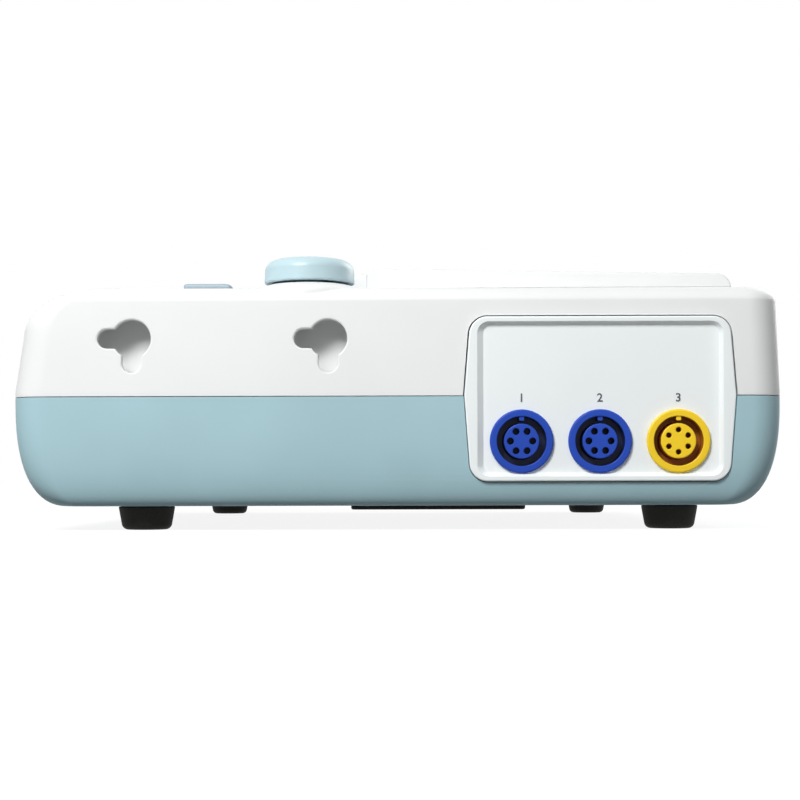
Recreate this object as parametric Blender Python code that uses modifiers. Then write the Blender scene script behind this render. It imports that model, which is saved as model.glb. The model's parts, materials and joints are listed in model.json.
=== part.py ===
"""Cardiotocograph: a desktop fetal monitor, free standing on four rubber feet.

Metres, +Z up. X runs across the width, -Y is the front, the origin is on the
ground under the middle of the casing.
"""
import math

import bmesh
import bpy
from mathutils import Matrix, Vector

# Clearances and cutting
gap = 0.0003
running_gap = 0.0004
overrun = 0.004
weld = 0.00005
round_steps = 32
small_steps = 16

# Casing
body_width = 0.350
body_depth = 0.3004
base_z = 0.0095
seam_z = 0.052
seam_lip = 0.002
upper_height = 0.043
wall = 0.0025
corner_radius = 0.013
upper_draft = math.radians(3)
rear_draft_share = 2 / 3
side_fillet = 0.006
side_fillet_run = 0.0104
rear_fillet = 0.006
front_crown_height = 0.019
front_shoulder_inset = 0.0032
front_crown_run = 0.030
base_inset_front = 0.020
base_inset_side = 0.009
base_curve_power = 2.4
smallest_corner = 0.004

half_width = body_width / 2
half_depth = body_depth / 2
deck_z = seam_z + upper_height
front_shoulder_z = deck_z - front_crown_height
deck_under = deck_z - wall
floor_z = base_z + wall
upper_edge = seam_z + gap / 2
lower_edge = seam_z - gap / 2

# Transducer sockets, set out from the rear
socket_count = 3
socket_pitch = 0.03035
socket_rear_inset = 0.0415
socket_rise = 0.0249
socket_bore = 0.0096
socket_wall = 0.0016
socket_lip = 0.00115
socket_flange = 0.0012
socket_length = 0.018
socket_floor = 0.003
socket_groove = 0.00275
socket_groove_depth = 0.008
insert_recess = 0.0006
pin_circle_share = 0.62774
pin_count = 6
blue_pin_radius = 0.0013
yellow_pin_radius = 0.00106
pin_depth = 0.006
key_rib_width = 0.0019
key_rib_share = 0.6

socket_z = base_z + socket_rise
socket_last_y = half_depth - socket_rear_inset
socket_first_y = socket_last_y - (socket_count - 1) * socket_pitch
socket_shell_radius = socket_bore + socket_wall
socket_flange_radius = socket_shell_radius + socket_lip
insert_radius = socket_bore - socket_groove
pin_circle = insert_radius * pin_circle_share
key_rib_height = socket_groove * key_rib_share

# Port panel round the sockets, across the seam
panel_below_deck = 0.0123
panel_front_margin = 0.00735
panel_rear_margin = 0.00745
panel_socket_gap = 0.00025
panel_bulge = 0.0025
panel_corner = 0.0065
panel_thickness = 0.008
panel_rim = 0.0021
panel_side_rim = 0.0027
panel_field_corner = 0.0045
panel_sink = 0.0020
panel_slope = 0.0009

panel_top = deck_z - panel_below_deck
panel_bottom = socket_z - socket_flange_radius - panel_rim - panel_slope - panel_socket_gap
panel_front = socket_first_y - socket_flange_radius - panel_front_margin
panel_rear = socket_last_y + socket_flange_radius + panel_rear_margin

# Keyholes in the side walls, between the front and the port panel
keyhole_radius = 0.0074
keyhole_slot_half = 0.00375
keyhole_reach = 0.00945
keyhole_front_inset = 0.0474
keyhole_rear_share = 0.57971
keyhole_below_deck = 0.0206
pocket_margin = 0.0018
pocket_depth = 0.009
pocket_wall = 0.0018
pocket_seam_rise = 0.0074

keyhole_z = deck_z - keyhole_below_deck
keyhole_front_y = keyhole_front_inset - half_depth
keyhole_rear_y = keyhole_front_y + (panel_front - keyhole_front_y) * keyhole_rear_share
keyhole_ys = (keyhole_front_y, keyhole_rear_y)
pocket_floor_z = seam_z + pocket_seam_rise

# Recorder in the deck, front left, as wide as its paper needs
paper_width = 0.152
paper_side_margin = 0.0068
paper_front_gap = 0.0006
paper_rear_gap = 0.0015
paper_drop = 0.0087
door_side_inset = 0.029
door_front_inset = 0.0346
door_axis_inset = 0.1217
door_axis_drop = 0.0035
door_barrel = 0.0032
door_thickness = 0.003
paper_slot = 0.0022
door_pin = 0.001
door_pin_reach = 0.0026
hinge_boss_width = 0.0032
window_side_margin = 0.028
window_front_margin = 0.0176
window_rear_margin = 0.0235
window_lip = 0.003
window_thickness = 0.0015
tray_wall = 0.0022
tray_margin = 0.004
tray_front_margin = 0.0044
tray_floor_z = 0.040
tray_floor = 0.002
platen_radius = 0.006
platen_front_inset = 0.0076
platen_drop = 0.012
platen_end_gap = 0.0006
axle_radius = 0.002
gear_radius = 0.008
gear_width = 0.004
gear_teeth = 16
pinion_radius = 0.004
pinion_teeth = 8
gear_tooth_height = 0.0012
gear_tooth_shares = ((0, 0), (0.25, 0), (0.4, 1), (0.85, 1))
motor_radius = 0.008
motor_length = 0.026
motor_shaft_radius = 0.001
bracket_thickness = 0.0016
print_head_depth = 0.0035
print_head_height = 0.010

tray_left = door_side_inset - half_width - tray_margin
tray_right = tray_left + paper_width + (paper_side_margin + tray_wall) * 2
door_left = tray_left + tray_margin
door_right = tray_right - tray_margin
door_front_y = door_front_inset - half_depth
door_axis_y = door_axis_inset - half_depth
door_axis_z = deck_z - door_axis_drop
window_left = door_left + window_side_margin
window_right = door_right - window_side_margin
window_front = door_front_y + window_front_margin
window_rear = door_axis_y - window_rear_margin
tray_front_y = door_front_y - tray_front_margin
platen_y = door_front_y + platen_front_inset
platen_z = deck_z - platen_drop

# Keys between the recorder and the right side
key_count = 6
key_row_left_margin = 0.017
key_row_right_inset = 0.010
key_spacing = 0.004
key_front_inset = 0.0754
key_depth = 0.0188
key_stand = 0.0020
key_shoulder = 0.0012
key_rear_chamfer = 0.0021
key_flange = 0.0012
key_flange_thickness = 0.002
key_stem = 0.004
key_travel = 0.001
release_width = 0.012
release_depth = 0.018
release_side_gap = 0.0025
release_behind_keys = 0.025

key_row_left = door_right + key_row_left_margin
key_pitch = (half_width - key_row_right_inset - key_row_left) / key_count
key_width = key_pitch - key_spacing
key_first_x = key_row_left + key_pitch / 2
key_y = key_front_inset - half_depth
key_top_z = deck_z + key_stand
release_x = tray_right + release_side_gap + release_width / 2
release_y = key_y + release_behind_keys

# Knob and encoder
knob_side_inset = 0.027
knob_behind_keys = 0.0394
knob_radius = 0.0181
knob_lift = 0.001
knob_height = 0.0098
knob_shoulder = 0.0026
knob_skirt = 0.0028
knob_crown_shares = ((1.15, 0.06), (0.62, 0.24), (0.2, 0.7), (0, 1.35))
knob_roof_share = 1.6
shaft_drop_share = 1.5
collar_height = 0.0023
collar_radius = 0.0172
collar_flare = 0.0063
collar_flare_shares = ((0.127, 0.298), (0.35, 0.238), (0.62, 0.15), (0.825, 0.032), (0.937, -0.095),
                       (0.984, -0.238))
collar_undercut_share = 0.3
shaft_radius = 0.003
shaft_hub = 0.0026
bush_radius = 0.0048
bush_stand = 0.0018
encoder_size = 0.0136
encoder_drop = 0.0055
encoder_floor = 0.0012
plunger_height = 0.0018
press_travel = 0.0006

knob_x = half_width - knob_side_inset
knob_y = key_y + knob_behind_keys
collar_top_z = deck_z + collar_height
knob_base_z = collar_top_z + knob_lift
knob_top_z = knob_base_z + knob_height
bush_top = deck_z + bush_stand
encoder_top = deck_z - encoder_drop

# Board under the keys and the encoder
board_thickness = 0.0016
post_inset = 0.005
key_board_drop = 0.0146
key_board_side_margin = 0.0165
key_board_front_margin = 0.0252
key_board_right_margin = 0.0017
key_board_rear_margin = 0.0086

key_board_z = deck_z - key_board_drop
key_board_left = tray_right + key_board_side_margin
key_board_right = knob_x + encoder_size / 2 + key_board_right_margin
key_board_front = key_y - key_board_front_margin
key_board_rear = knob_y + encoder_size / 2 + key_board_rear_margin

# Display lid, between the recorder and the rear
lid_knob_gap = 0.0058
lid_door_gap = 0.0115
lid_rear_inset = 0.0112
lid_nose_stand = 0.0063
lid_nose_radius = 0.003
lid_drop = 0.0048
lid_slope_run = 0.014
lid_crest_stand = 0.0125
lid_rear_stand = 0.0104
lid_rear_round = 0.0058
lid_split_run = 0.004
lid_split_front_stand = 0.0044
lid_split_rear_stand = 0.0049
lid_undercut = 0.005
lid_shell = 0.002
screen_side_margin = 0.01365
screen_front_margin = 0.0065
screen_rear_margin = 0.0105
glass_margin = 0.0025
glass_thickness = 0.0018
lcd_margin = 0.004
lcd_thickness = 0.0045
well_gap = 0.0015
well_front_gap = 0.0006
well_depth = 0.0058
hinge_side_margin = 0.020
hinge_width = 0.014
hinge_notch_run = 0.010
hinge_pin = 0.0012
hinge_pin_reach = 0.008
hinge_knuckle = 0.0027
hinge_base_height = 0.0016
hinge_base_run = 0.0085

lid_half_width = knob_x - collar_radius - lid_knob_gap
lid_nose_y = door_axis_y + lid_door_gap
lid_nose_z = deck_z + lid_nose_stand
lid_bottom_z = deck_z - lid_drop
lid_crest_y = lid_nose_y + lid_slope_run
lid_crest_z = deck_z + lid_crest_stand
lid_rear_y = half_depth - lid_rear_inset
lid_rear_top_z = deck_z + lid_rear_stand
lid_split_y = lid_nose_y + lid_split_run
lid_split_front_z = deck_z + lid_split_front_stand
lid_split_rear_z = deck_z + lid_split_rear_stand
screen_width = (lid_half_width - screen_side_margin) * 2
screen_front_y = lid_crest_y + screen_front_margin
screen_depth = lid_rear_y - screen_rear_margin - screen_front_y
well_floor_z = deck_z - well_depth
well_front = lid_nose_y - lid_nose_radius - well_front_gap
hinge_x = lid_half_width - hinge_side_margin
hinge_notch_y = lid_nose_y + hinge_notch_run
hinge_base_rear = lid_nose_y + hinge_base_run
tray_rear_y = well_front - wall - running_gap

# Feet, battery and underside
foot_side_inset = 0.025
foot_front_inset = 0.0494
foot_rear_inset = 0.0414
foot_top_radius = 0.01125
foot_bottom_radius = 0.0093
foot_round = 0.0012
bay_half_width = 0.050
bay_front = -0.018
bay_depth = 0.0715
bay_height = 0.0235
bay_wall = 0.002
cover_side_margin = 0.014
cover_end_margin = 0.004
cover_drop = 0.0035
cover_screw_margin = 0.008
pack_margin = 0.003
pack_clearance = 0.002
screw_head_radius = 0.003
screw_head_height = 0.0018
screw_radius = 0.0014
screw_slot_depth = 0.0008
cover_screw_length = 0.008
boss_radius = 0.0044
boss_height = 0.009
casing_screw_front_inset = 0.0135
casing_screw_behind_keys = 0.0188
casing_screw_rear_side_inset = 0.040
casing_screw_rear_inset = 0.0282
casing_screw_length = 0.052
casing_screw_sink = 0.0028

foot_x = half_width - foot_side_inset
foot_front_y = foot_front_inset - half_depth
foot_rear_y = half_depth - foot_rear_inset
bay_rear = bay_front + bay_depth
bay_top = base_z + bay_height
cover_half_width = bay_half_width + cover_side_margin
cover_front = bay_front - cover_end_margin
cover_rear = bay_rear + cover_end_margin
cover_bottom = base_z - cover_drop
cover_screw_x = bay_half_width + cover_screw_margin
pack_height = bay_height - pack_clearance
casing_screw_front_x = half_width - casing_screw_front_inset
casing_screw_front_y = key_y + casing_screw_behind_keys
casing_screw_rear_x = half_width - casing_screw_rear_side_inset
casing_screw_rear_y = half_depth - casing_screw_rear_inset

# Rear plate and what it carries
plate_side_inset = 0.035
plate_width = 0.200
plate_rise = 0.0095
plate_seam_drop = 0.0055
plate_inset = 0.0057
plate_thickness = 0.0035
rear_row_share = 0.50182
inlet_end_gap = 0.035
inlet_width = 0.0272
inlet_edge_gap = 0.00395
inlet_flange = 0.0020
inlet_flange_thickness = 0.0016
inlet_depth = 0.022
inlet_well = 0.015
inlet_wall = 0.0022
inlet_pin_gap = 0.007
inlet_pin_width = 0.002
inlet_pin_height = 0.004
inlet_pin_drop = 0.004
switch_from_inlet = 0.035
switch_width = 0.013
switch_edge_gap = 0.00415
switch_flange = 0.0012
switch_depth = 0.016
rocker_stand = 0.0022
rocker_belly_share = 1.4
rocker_tilt = math.radians(11)
post_from_switch = 0.023
post_radius = 0.003
post_nut_radius = 0.0055
post_nut_height = 0.004
post_length = 0.0055
network_from_post = 0.032
network_width = 0.016
network_height = 0.0135
network_depth = 0.016
network_wall = 0.001
serial_from_network = 0.043
serial_width = 0.0308
serial_height = 0.0125
serial_shell_width = 0.0185
serial_shell_height = 0.0085
serial_stand = 0.0055
serial_depth = 0.010

plate_left = plate_side_inset - half_width
plate_right = plate_left + plate_width
plate_bottom = base_z + plate_rise
plate_top = seam_z - plate_seam_drop
plate_face = half_depth - plate_inset
plate_height = plate_top - plate_bottom
rear_row_z = plate_bottom + plate_height * rear_row_share
inlet_x = plate_left + inlet_end_gap
inlet_height = plate_height - inlet_edge_gap * 2
switch_x = inlet_x + switch_from_inlet
switch_height = plate_height - switch_edge_gap * 2
post_x = switch_x + post_from_switch
network_x = post_x + network_from_post
serial_x = network_x + serial_from_network

# Boards, supply and speaker
supply_side_inset = 0.025
supply_bay_gap = 0.026
supply_rear_inset = 0.0382
supply_depth = 0.082
supply_height = 0.034
main_board_supply_gap = 0.014
main_board_side_inset = 0.030
main_board_tray_gap = 0.0055
main_board_rear_inset = 0.0402
main_board_bay_gap = 0.005
standoff_radius = 0.003
board_block_count = 3
board_block_half = 0.015
board_block_front_gap = 0.003
board_block_depth = 0.045
board_block_height = 0.006
speaker_side_inset = 0.075
speaker_front_inset = 0.0802
speaker_radius = 0.020
speaker_height = 0.013
speaker_cone = 0.016
speaker_neck_share = 0.6
speaker_dome_share = 0.35
speaker_step_shares = (0.3, 0.4, 0.55)
grille_slots = 5
grille_pitch = 0.006
grille_slot_width = 0.0022
grille_slot_length = 0.026

supply_left = supply_side_inset - half_width
supply_right = -(bay_half_width + bay_wall + supply_bay_gap)
supply_rear = half_depth - supply_rear_inset
supply_front = supply_rear - supply_depth
main_board_left = supply_right + main_board_supply_gap
main_board_right = half_width - main_board_side_inset
main_board_front = tray_rear_y + main_board_tray_gap
main_board_rear = half_depth - main_board_rear_inset
main_board_z = bay_top + bay_wall + main_board_bay_gap
speaker_x = half_width - speaker_side_inset
speaker_y = speaker_front_inset - half_depth


def clear_scene():
    for item in list(bpy.data.objects):
        bpy.data.objects.remove(item, do_unlink=True)


clear_scene()
parts = bpy.data.collections.new("cardiotocograph")
cutters = bpy.data.collections.new("cutters")
bpy.context.scene.collection.children.link(parts)
bpy.context.scene.collection.children.link(cutters)


def paint(name, colour, roughness, metallic=0.0):
    made = bpy.data.materials.new(name)
    made.use_nodes = True
    shader = made.node_tree.nodes["Principled BSDF"]
    shader.inputs["Base Color"].default_value = (*colour, 1.0)
    shader.inputs["Roughness"].default_value = roughness
    shader.inputs["Metallic"].default_value = metallic
    return made


white_plastic = paint("white_plastic", (0.86, 0.87, 0.87), 0.42)
grey_plastic = paint("grey_plastic", (0.37, 0.54, 0.59), 0.55)
knob_plastic = paint("knob_plastic", (0.58, 0.75, 0.80), 0.30)
key_plastic = paint("key_plastic", (0.49, 0.58, 0.64), 0.40)
blue_plastic = paint("blue_plastic", (0.03, 0.09, 0.58), 0.35)
yellow_plastic = paint("yellow_plastic", (0.95, 0.68, 0.02), 0.35)
black_rubber = paint("black_rubber", (0.015, 0.017, 0.013), 0.75)
black_plastic = paint("black_plastic", (0.013, 0.013, 0.012), 0.45)
clear_glass = paint("clear_glass", (0.03, 0.04, 0.05), 0.08)
steel = paint("steel", (0.60, 0.60, 0.61), 0.32, 1.0)
brass = paint("brass", (0.78, 0.60, 0.28), 0.30, 1.0)
board_green = paint("board_green", (0.02, 0.16, 0.07), 0.50)
paper_white = paint("paper_white", (0.90, 0.86, 0.82), 0.85)


def place(name, mesh, finish, home=parts, at=(0, 0, 0)):
    made = bpy.data.objects.new(name, mesh)
    home.objects.link(made)
    made.location = at
    if finish is None:
        made.hide_render = True
        made.display_type = "WIRE"
    else:
        mesh.materials.append(finish)
    return made


def mesh_from(name, form):
    bmesh.ops.recalc_face_normals(form, faces=form.faces)
    mesh = bpy.data.meshes.new(name)
    form.to_mesh(mesh)
    form.free()
    return mesh


def home_of(finish):
    return cutters if finish is None else parts


def block(name, low, high, finish=None):
    """A box between two corners, with its origin at its middle."""
    size = Vector(high) - Vector(low)
    form = bmesh.new()
    bmesh.ops.create_cube(form, size=1, matrix=Matrix.Diagonal((*size, 1)))
    middle = (Vector(high) + Vector(low)) / 2
    return place(name, mesh_from(name, form), finish, home_of(finish), middle)


def axis_turn(axis):
    turns = {"X": Matrix.Rotation(math.pi / 2, 4, "Y"),
             "Y": Matrix.Rotation(-math.pi / 2, 4, "X"),
             "Z": Matrix.Identity(4)}
    return turns[axis]


def rod(name, radius, start, length, axis, finish=None, steps=small_steps):
    """A round bar from a start point along +axis, with its origin at the start."""
    form = bmesh.new()
    lift = Matrix.Translation((0, 0, length / 2))
    bmesh.ops.create_cone(form, cap_ends=True, segments=steps, radius1=radius,
                          radius2=radius, depth=length, matrix=axis_turn(axis) @ lift)
    made = place(name, mesh_from(name, form), finish, home_of(finish), start)
    smooth(made)
    return made


def smooth(item):
    item.data.shade_smooth()
    item.data.set_sharp_from_angle(angle=math.radians(35))


def turned(name, profile, at, axis, finish=None, steps=round_steps):
    """A profile of (radius, height), top to bottom down its outer side, turned about an axis."""
    form = bmesh.new()
    points = [form.verts.new((radius, 0, height)) for radius, height in profile]
    for first, second in zip(points, points[1:]):
        form.edges.new((first, second))
    if profile[0][0] > 0:
        form.edges.new((points[-1], points[0]))
    mesh = bpy.data.meshes.new(name)
    form.to_mesh(mesh)
    form.free()
    made = place(name, mesh, finish, home_of(finish), at)
    made.matrix_world = Matrix.Translation(at) @ axis_turn(axis)
    screw = made.modifiers.new("turn", "SCREW")
    screw.axis = "Z"
    screw.steps = steps
    screw.render_steps = steps
    screw.use_merge_vertices = True
    screw.merge_threshold = weld
    screw.use_smooth_shade = True
    return made


def loft(name, rings, finish=None, at=(0, 0, 0), open_start=False):
    """A skin over rings of points that have the same count, closed by flat ends."""
    form = bmesh.new()
    rows = [[form.verts.new(point) for point in ring] for ring in rings]
    for lower, upper in zip(rows, rows[1:]):
        for place_on in range(len(lower)):
            after = (place_on + 1) % len(lower)
            form.faces.new((lower[place_on], lower[after], upper[after], upper[place_on]))
    if not open_start:
        form.faces.new(list(reversed(rows[0])))
    form.faces.new(rows[-1])
    return place(name, mesh_from(name, form), finish, home_of(finish), at)


def prism(name, outline, thickness, frame, finish=None):
    """A flat outline with a thickness, its middle plane set by a frame matrix."""
    line = bpy.data.curves.new(name + "_line", "CURVE")
    line.dimensions = "2D"
    line.fill_mode = "BOTH"
    line.extrude = thickness / 2
    spline = line.splines.new("POLY")
    spline.points.add(len(outline) - 1)
    for point, (across, along) in zip(spline.points, outline):
        point.co = (across, along, 0, 1)
    spline.use_cyclic_u = True
    drawn = bpy.data.objects.new(name + "_line", line)
    bpy.context.scene.collection.objects.link(drawn)
    graph = bpy.context.evaluated_depsgraph_get()
    mesh = bpy.data.meshes.new_from_object(drawn.evaluated_get(graph))
    form = bmesh.new()
    form.from_mesh(mesh)
    bmesh.ops.remove_doubles(form, verts=form.verts, dist=weld)
    bmesh.ops.recalc_face_normals(form, faces=form.faces)
    form.to_mesh(mesh)
    form.free()
    bpy.data.objects.remove(drawn, do_unlink=True)
    bpy.data.curves.remove(line)
    mesh.name = name
    mesh.materials.clear()
    made = place(name, mesh, finish, home_of(finish))
    made.matrix_world = frame
    return made


def side_frame(x):
    """Outline (y, z) drawn on a plane across X."""
    return Matrix(((0, 0, 1, x), (1, 0, 0, 0), (0, 1, 0, 0), (0, 0, 0, 1)))


def cut(item, cutter):
    made = item.modifiers.new("cut_" + cutter.name, "BOOLEAN")
    made.operation = "DIFFERENCE"
    made.object = cutter


def join(item, other):
    made = item.modifiers.new("join_" + other.name, "BOOLEAN")
    made.operation = "UNION"
    made.object = other


def soften(item, width, segments=1, angle=50):
    made = item.modifiers.new("soften", "BEVEL")
    made.width = width
    made.segments = segments
    made.limit_method = "ANGLE"
    made.angle_limit = math.radians(angle)


def hang(item, parent_name, axis_point):
    """Give a moving piece its parent empty on its joint's axis."""
    pivot = bpy.data.objects.get(parent_name)
    if pivot is None:
        pivot = bpy.data.objects.new(parent_name, None)
        parts.objects.link(pivot)
        pivot.location = axis_point
        bpy.context.view_layer.update()
    bpy.context.view_layer.update()
    world = item.matrix_world.copy()
    item.parent = pivot
    item.matrix_parent_inverse = pivot.matrix_world.inverted()
    item.matrix_world = world


def arc(centre, radius, start, end, steps):
    """Points on an arc between two angles in degrees, both ends included."""
    turn = (end - start) / steps
    angles = [math.radians(start + turn * step) for step in range(steps + 1)]
    return [(centre[0] + radius * math.cos(a), centre[1] + radius * math.sin(a)) for a in angles]


def rounded(corners, radius, steps=4):
    """A convex outline, anticlockwise, with each corner rounded by an arc."""
    points = []
    count = len(corners)
    for spot in range(count):
        here = Vector(corners[spot])
        back = (Vector(corners[spot - 1]) - here).normalized()
        ahead = (Vector(corners[(spot + 1) % count]) - here).normalized()
        half = back.angle(ahead) / 2
        centre = here + (back + ahead).normalized() * (radius / math.sin(half))
        first = here + back * (radius / math.tan(half)) - centre
        last = here + ahead * (radius / math.tan(half)) - centre
        begin = math.degrees(math.atan2(first.y, first.x))
        sweep = math.degrees(math.atan2(last.y, last.x)) - begin
        sweep = (sweep + 180) % 360 - 180
        points += arc(centre, radius, begin, begin + sweep, steps)
    return points


def rectangle(left, right, low, high):
    return [(left, low), (right, low), (right, high), (left, high)]


def grown(corners, amount):
    """A convex outline moved outward by an amount on every edge."""
    made = []
    count = len(corners)
    for spot in range(count):
        here = Vector(corners[spot])
        back = (here - Vector(corners[spot - 1])).normalized()
        ahead = (Vector(corners[(spot + 1) % count]) - here).normalized()
        out = Vector((back.y + ahead.y, -back.x - ahead.x))
        made.append(tuple(here + out * (amount / (1 + back.dot(ahead)))))
    return made


def front_inset(z):
    """How far the front has come back from the seam's front line at a height above the seam."""
    foot = seam_z + seam_lip
    if z <= front_shoulder_z:
        return front_shoulder_inset * max(0, z - foot) / (front_shoulder_z - foot)
    climb = min(1, (z - front_shoulder_z) / (deck_z - front_shoulder_z))
    return front_shoulder_inset + front_crown_run * (1 - math.sqrt(1 - climb ** 2))


def fillet_inset(z, radius):
    climb = max(0, z - (deck_z - radius))
    return radius - math.sqrt(max(0, radius ** 2 - climb ** 2))


def upper_ring(z):
    lean = max(0, z - seam_z - seam_lip) * math.tan(upper_draft)
    side = lean + fillet_inset(z, side_fillet) * side_fillet_run / side_fillet
    rear = lean * rear_draft_share + fillet_inset(z, rear_fillet)
    corners = rectangle(-half_width + side, half_width - side,
                        -half_depth + front_inset(z), half_depth - rear)
    radius = max(smallest_corner, corner_radius - fillet_inset(z, side_fillet))
    return [(x, y, z) for x, y in rounded(corners, radius, corner_steps)]


def base_share(z):
    """How much of the bottom's inset is reached at a height below the seam."""
    drop = min(1, max(0, seam_z - seam_lip - z) / (seam_z - seam_lip - base_z))
    return 1 - (1 - drop ** base_curve_power) ** (1 / base_curve_power)


def lower_ring(z):
    side = base_inset_side * base_share(z)
    end = base_inset_front * base_share(z)
    corners = rectangle(-half_width + side, half_width - side, -half_depth + end, half_depth - end)
    radius = max(smallest_corner, corner_radius - side / 2)
    return [(x, y, z) for x, y in rounded(corners, radius, corner_steps)]


corner_steps = 5
crown_shares = (0, 0.26, 0.5, 0.69, 0.86, 0.96, 1)
fillet_shares = (0, 0.4, 0.75, 0.93)
base_shares = (0, 0.3, 0.52, 0.68, 0.8, 0.9, 0.965, 1)


def shell(name, rings, finish):
    made = loft(name, rings, finish, open_start=True)
    hollow = made.modifiers.new("wall", "SOLIDIFY")
    hollow.thickness = wall
    hollow.offset = -1
    hollow.use_even_offset = True
    return made


def panel_outline(growth):
    """The port panel's outline: straight top and bottom, sides that swell to the seam."""
    middle = (panel_front + panel_rear) / 2
    box = rounded(rectangle(panel_front, panel_rear, panel_bottom, panel_top), panel_corner, 5)
    swollen = []
    for y, z in box:
        reach = panel_top - seam_z if z > seam_z else seam_z - panel_bottom
        swell = panel_bulge * (1 - abs(z - seam_z) / reach)
        swollen.append((y + swell if y > middle else y - swell, z))
    half = len(swollen) // 2
    rear = [(panel_rear + panel_bulge, seam_z)]
    front = [(panel_front - panel_bulge, seam_z)]
    return grown(swollen[:half] + rear + swollen[half:] + front, growth)


def field_outline(growth):
    """The sunk field's outline, with straight sides."""
    box = rectangle(panel_front + panel_side_rim, panel_rear - panel_side_rim,
                    panel_bottom + panel_rim, panel_top - panel_rim)
    return grown(rounded(box, panel_field_corner, 5), growth)


def keyhole_outline():
    """A round hole with one slot toward the front and one slot down."""
    spread = math.degrees(math.asin(keyhole_slot_half / keyhole_radius))
    hole = arc((0, 0), keyhole_radius, -90 + spread, 180 - spread, 12)
    front_slot = arc((-keyhole_reach, 0), keyhole_slot_half, 90, 270, 8)
    between = arc((0, 0), keyhole_radius, 180 + spread, 270 - spread, 3)
    down_slot = arc((0, -keyhole_reach), keyhole_slot_half, 180, 360, 8)
    return hole + front_slot + between + down_slot


def cut_keyholes(casing):
    """Each keyhole opens into a pocket moulded behind the wall."""
    low = keyhole_reach + keyhole_slot_half + pocket_margin
    high = keyhole_radius + pocket_margin
    wall_inner = half_width - wall - (keyhole_z - seam_z) * math.tan(upper_draft)
    for side in (-1, 1):
        for spot, y in enumerate(keyhole_ys):
            label = "pocket_%s_%d" % ("right" if side > 0 else "left", spot + 1)
            box = ((wall_inner - pocket_depth) * side, wall_inner * side)
            inner = sorted(box)
            outer = sorted((box[0] - pocket_wall * side, box[1] + wall / 2 * side))
            shroud = block(label, (outer[0], y - low - pocket_wall, pocket_floor_z - pocket_wall),
                           (outer[1], y + high + pocket_wall, keyhole_z + high + pocket_wall))
            join(casing, shroud)
            hollow = block(label + "_hollow", (inner[0], y - low, pocket_floor_z),
                           (inner[1], y + high, keyhole_z + high))
            cut(casing, hollow)
            outline = [(y + across, keyhole_z + along) for across, along in keyhole_outline()]
            hole = prism(label + "_keyhole", outline, pocket_depth, side_frame(half_width * side))
            cut(casing, hole)


def well_half():
    return lid_half_width + well_gap


def make_upper_casing():
    rise = [front_shoulder_z + (deck_z - front_shoulder_z) * share for share in crown_shares]
    edge = [deck_z - side_fillet * (1 - share) for share in fillet_shares]
    levels = sorted(set([upper_edge, seam_z + seam_lip] + rise + edge))
    casing = shell("upper_casing", [upper_ring(z) for z in levels], white_plastic)

    # Well for the display lid, and the collar under the knob
    rear = lid_rear_y + well_gap
    tub = block("well_tub", (-well_half() - wall, well_front - wall, well_floor_z - wall),
                (well_half() + wall, rear + wall, deck_z - wall / 2))
    join(casing, tub)
    collar = turned("collar", collar_profile(), (knob_x, knob_y, 0), "Z")
    join(casing, collar)
    well = block("well", (-well_half(), well_front, well_floor_z), (well_half(), rear, deck_z + overrun))
    cut(casing, well)
    cut(casing, rod("collar_bore", bush_radius + running_gap, (knob_x, knob_y, deck_under - overrun),
                    collar_top_z - deck_under + overrun * 2, "Z"))

    # Keys and release key
    for number in range(key_count):
        x = key_first_x + number * key_pitch
        cut(casing, key_opening("key_opening_%d" % (number + 1), x, key_y, key_width, key_depth))
    cut(casing, key_opening("release_opening", release_x, release_y, release_width, release_depth))

    # Recorder opening with hinge bosses at its rear corners
    rear_edge = door_axis_y + door_barrel + running_gap
    for side, edge_x in ((-1, door_left), (1, door_right)):
        outer = sorted((edge_x, edge_x + hinge_boss_width * side))
        boss = block("door_boss_%s" % ("left" if side < 0 else "right"),
                     (outer[0], door_axis_y - door_barrel, door_axis_z - door_barrel),
                     (outer[1], rear_edge + wall / 2, deck_z - wall / 2))
        join(casing, boss)
    opening = block("recorder_opening", (door_left, door_front_y - paper_slot, deck_under - overrun * 2),
                    (door_right, rear_edge, deck_z + overrun))
    cut(casing, opening)
    reach = door_pin_reach + gap
    hinge_hole = rod("door_hinge_hole", door_pin + gap, (door_left - reach, door_axis_y, door_axis_z),
                     door_right - door_left + reach * 2, "X", steps=12)
    cut(casing, hinge_hole)

    # Side wall openings
    cut_keyholes(casing)
    cut(casing, prism("panel_hole_upper", panel_outline(gap), panel_thickness * 2,
                      side_frame(half_width - panel_thickness / 4)))

    # Screw bosses
    for number, (x, y) in enumerate(casing_screw_places()):
        top = well_floor_z - wall / 2 if y > 0 and abs(x) < well_half() else deck_z - wall / 2
        join(casing, rod("upper_boss_%d" % (number + 1), boss_radius, (x, y, upper_edge),
                         top - upper_edge, "Z"))
        cut(casing, rod("upper_pilot_%d" % (number + 1), screw_radius + gap,
                        (x, y, upper_edge - overrun), casing_screw_length / 2, "Z", steps=12))
    for number, (x, y) in enumerate(key_post_places()):
        foot = key_board_z + board_thickness + gap
        join(casing, rod("key_post_%d" % (number + 1), standoff_radius, (x, y, foot),
                         deck_z - wall / 2 - foot, "Z"))
    smooth_by_angle(casing)
    return casing


def smooth_by_angle(item):
    item.data.shade_smooth()
    item.data.set_sharp_from_angle(angle=math.radians(30))


def collar_profile():
    """A flared foot that rolls over the side's top edge, level with the deck's underside below."""
    foot = collar_radius + collar_flare
    flare = [(collar_radius + collar_flare * out, deck_z + collar_flare * up)
             for out, up in collar_flare_shares]
    return [(0, collar_top_z), (collar_radius, collar_top_z)] + flare + [
        (foot, deck_under - gap * 3), (foot - collar_flare * collar_undercut_share, deck_under - wall / 2),
        (0, deck_under - wall / 2)]


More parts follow.
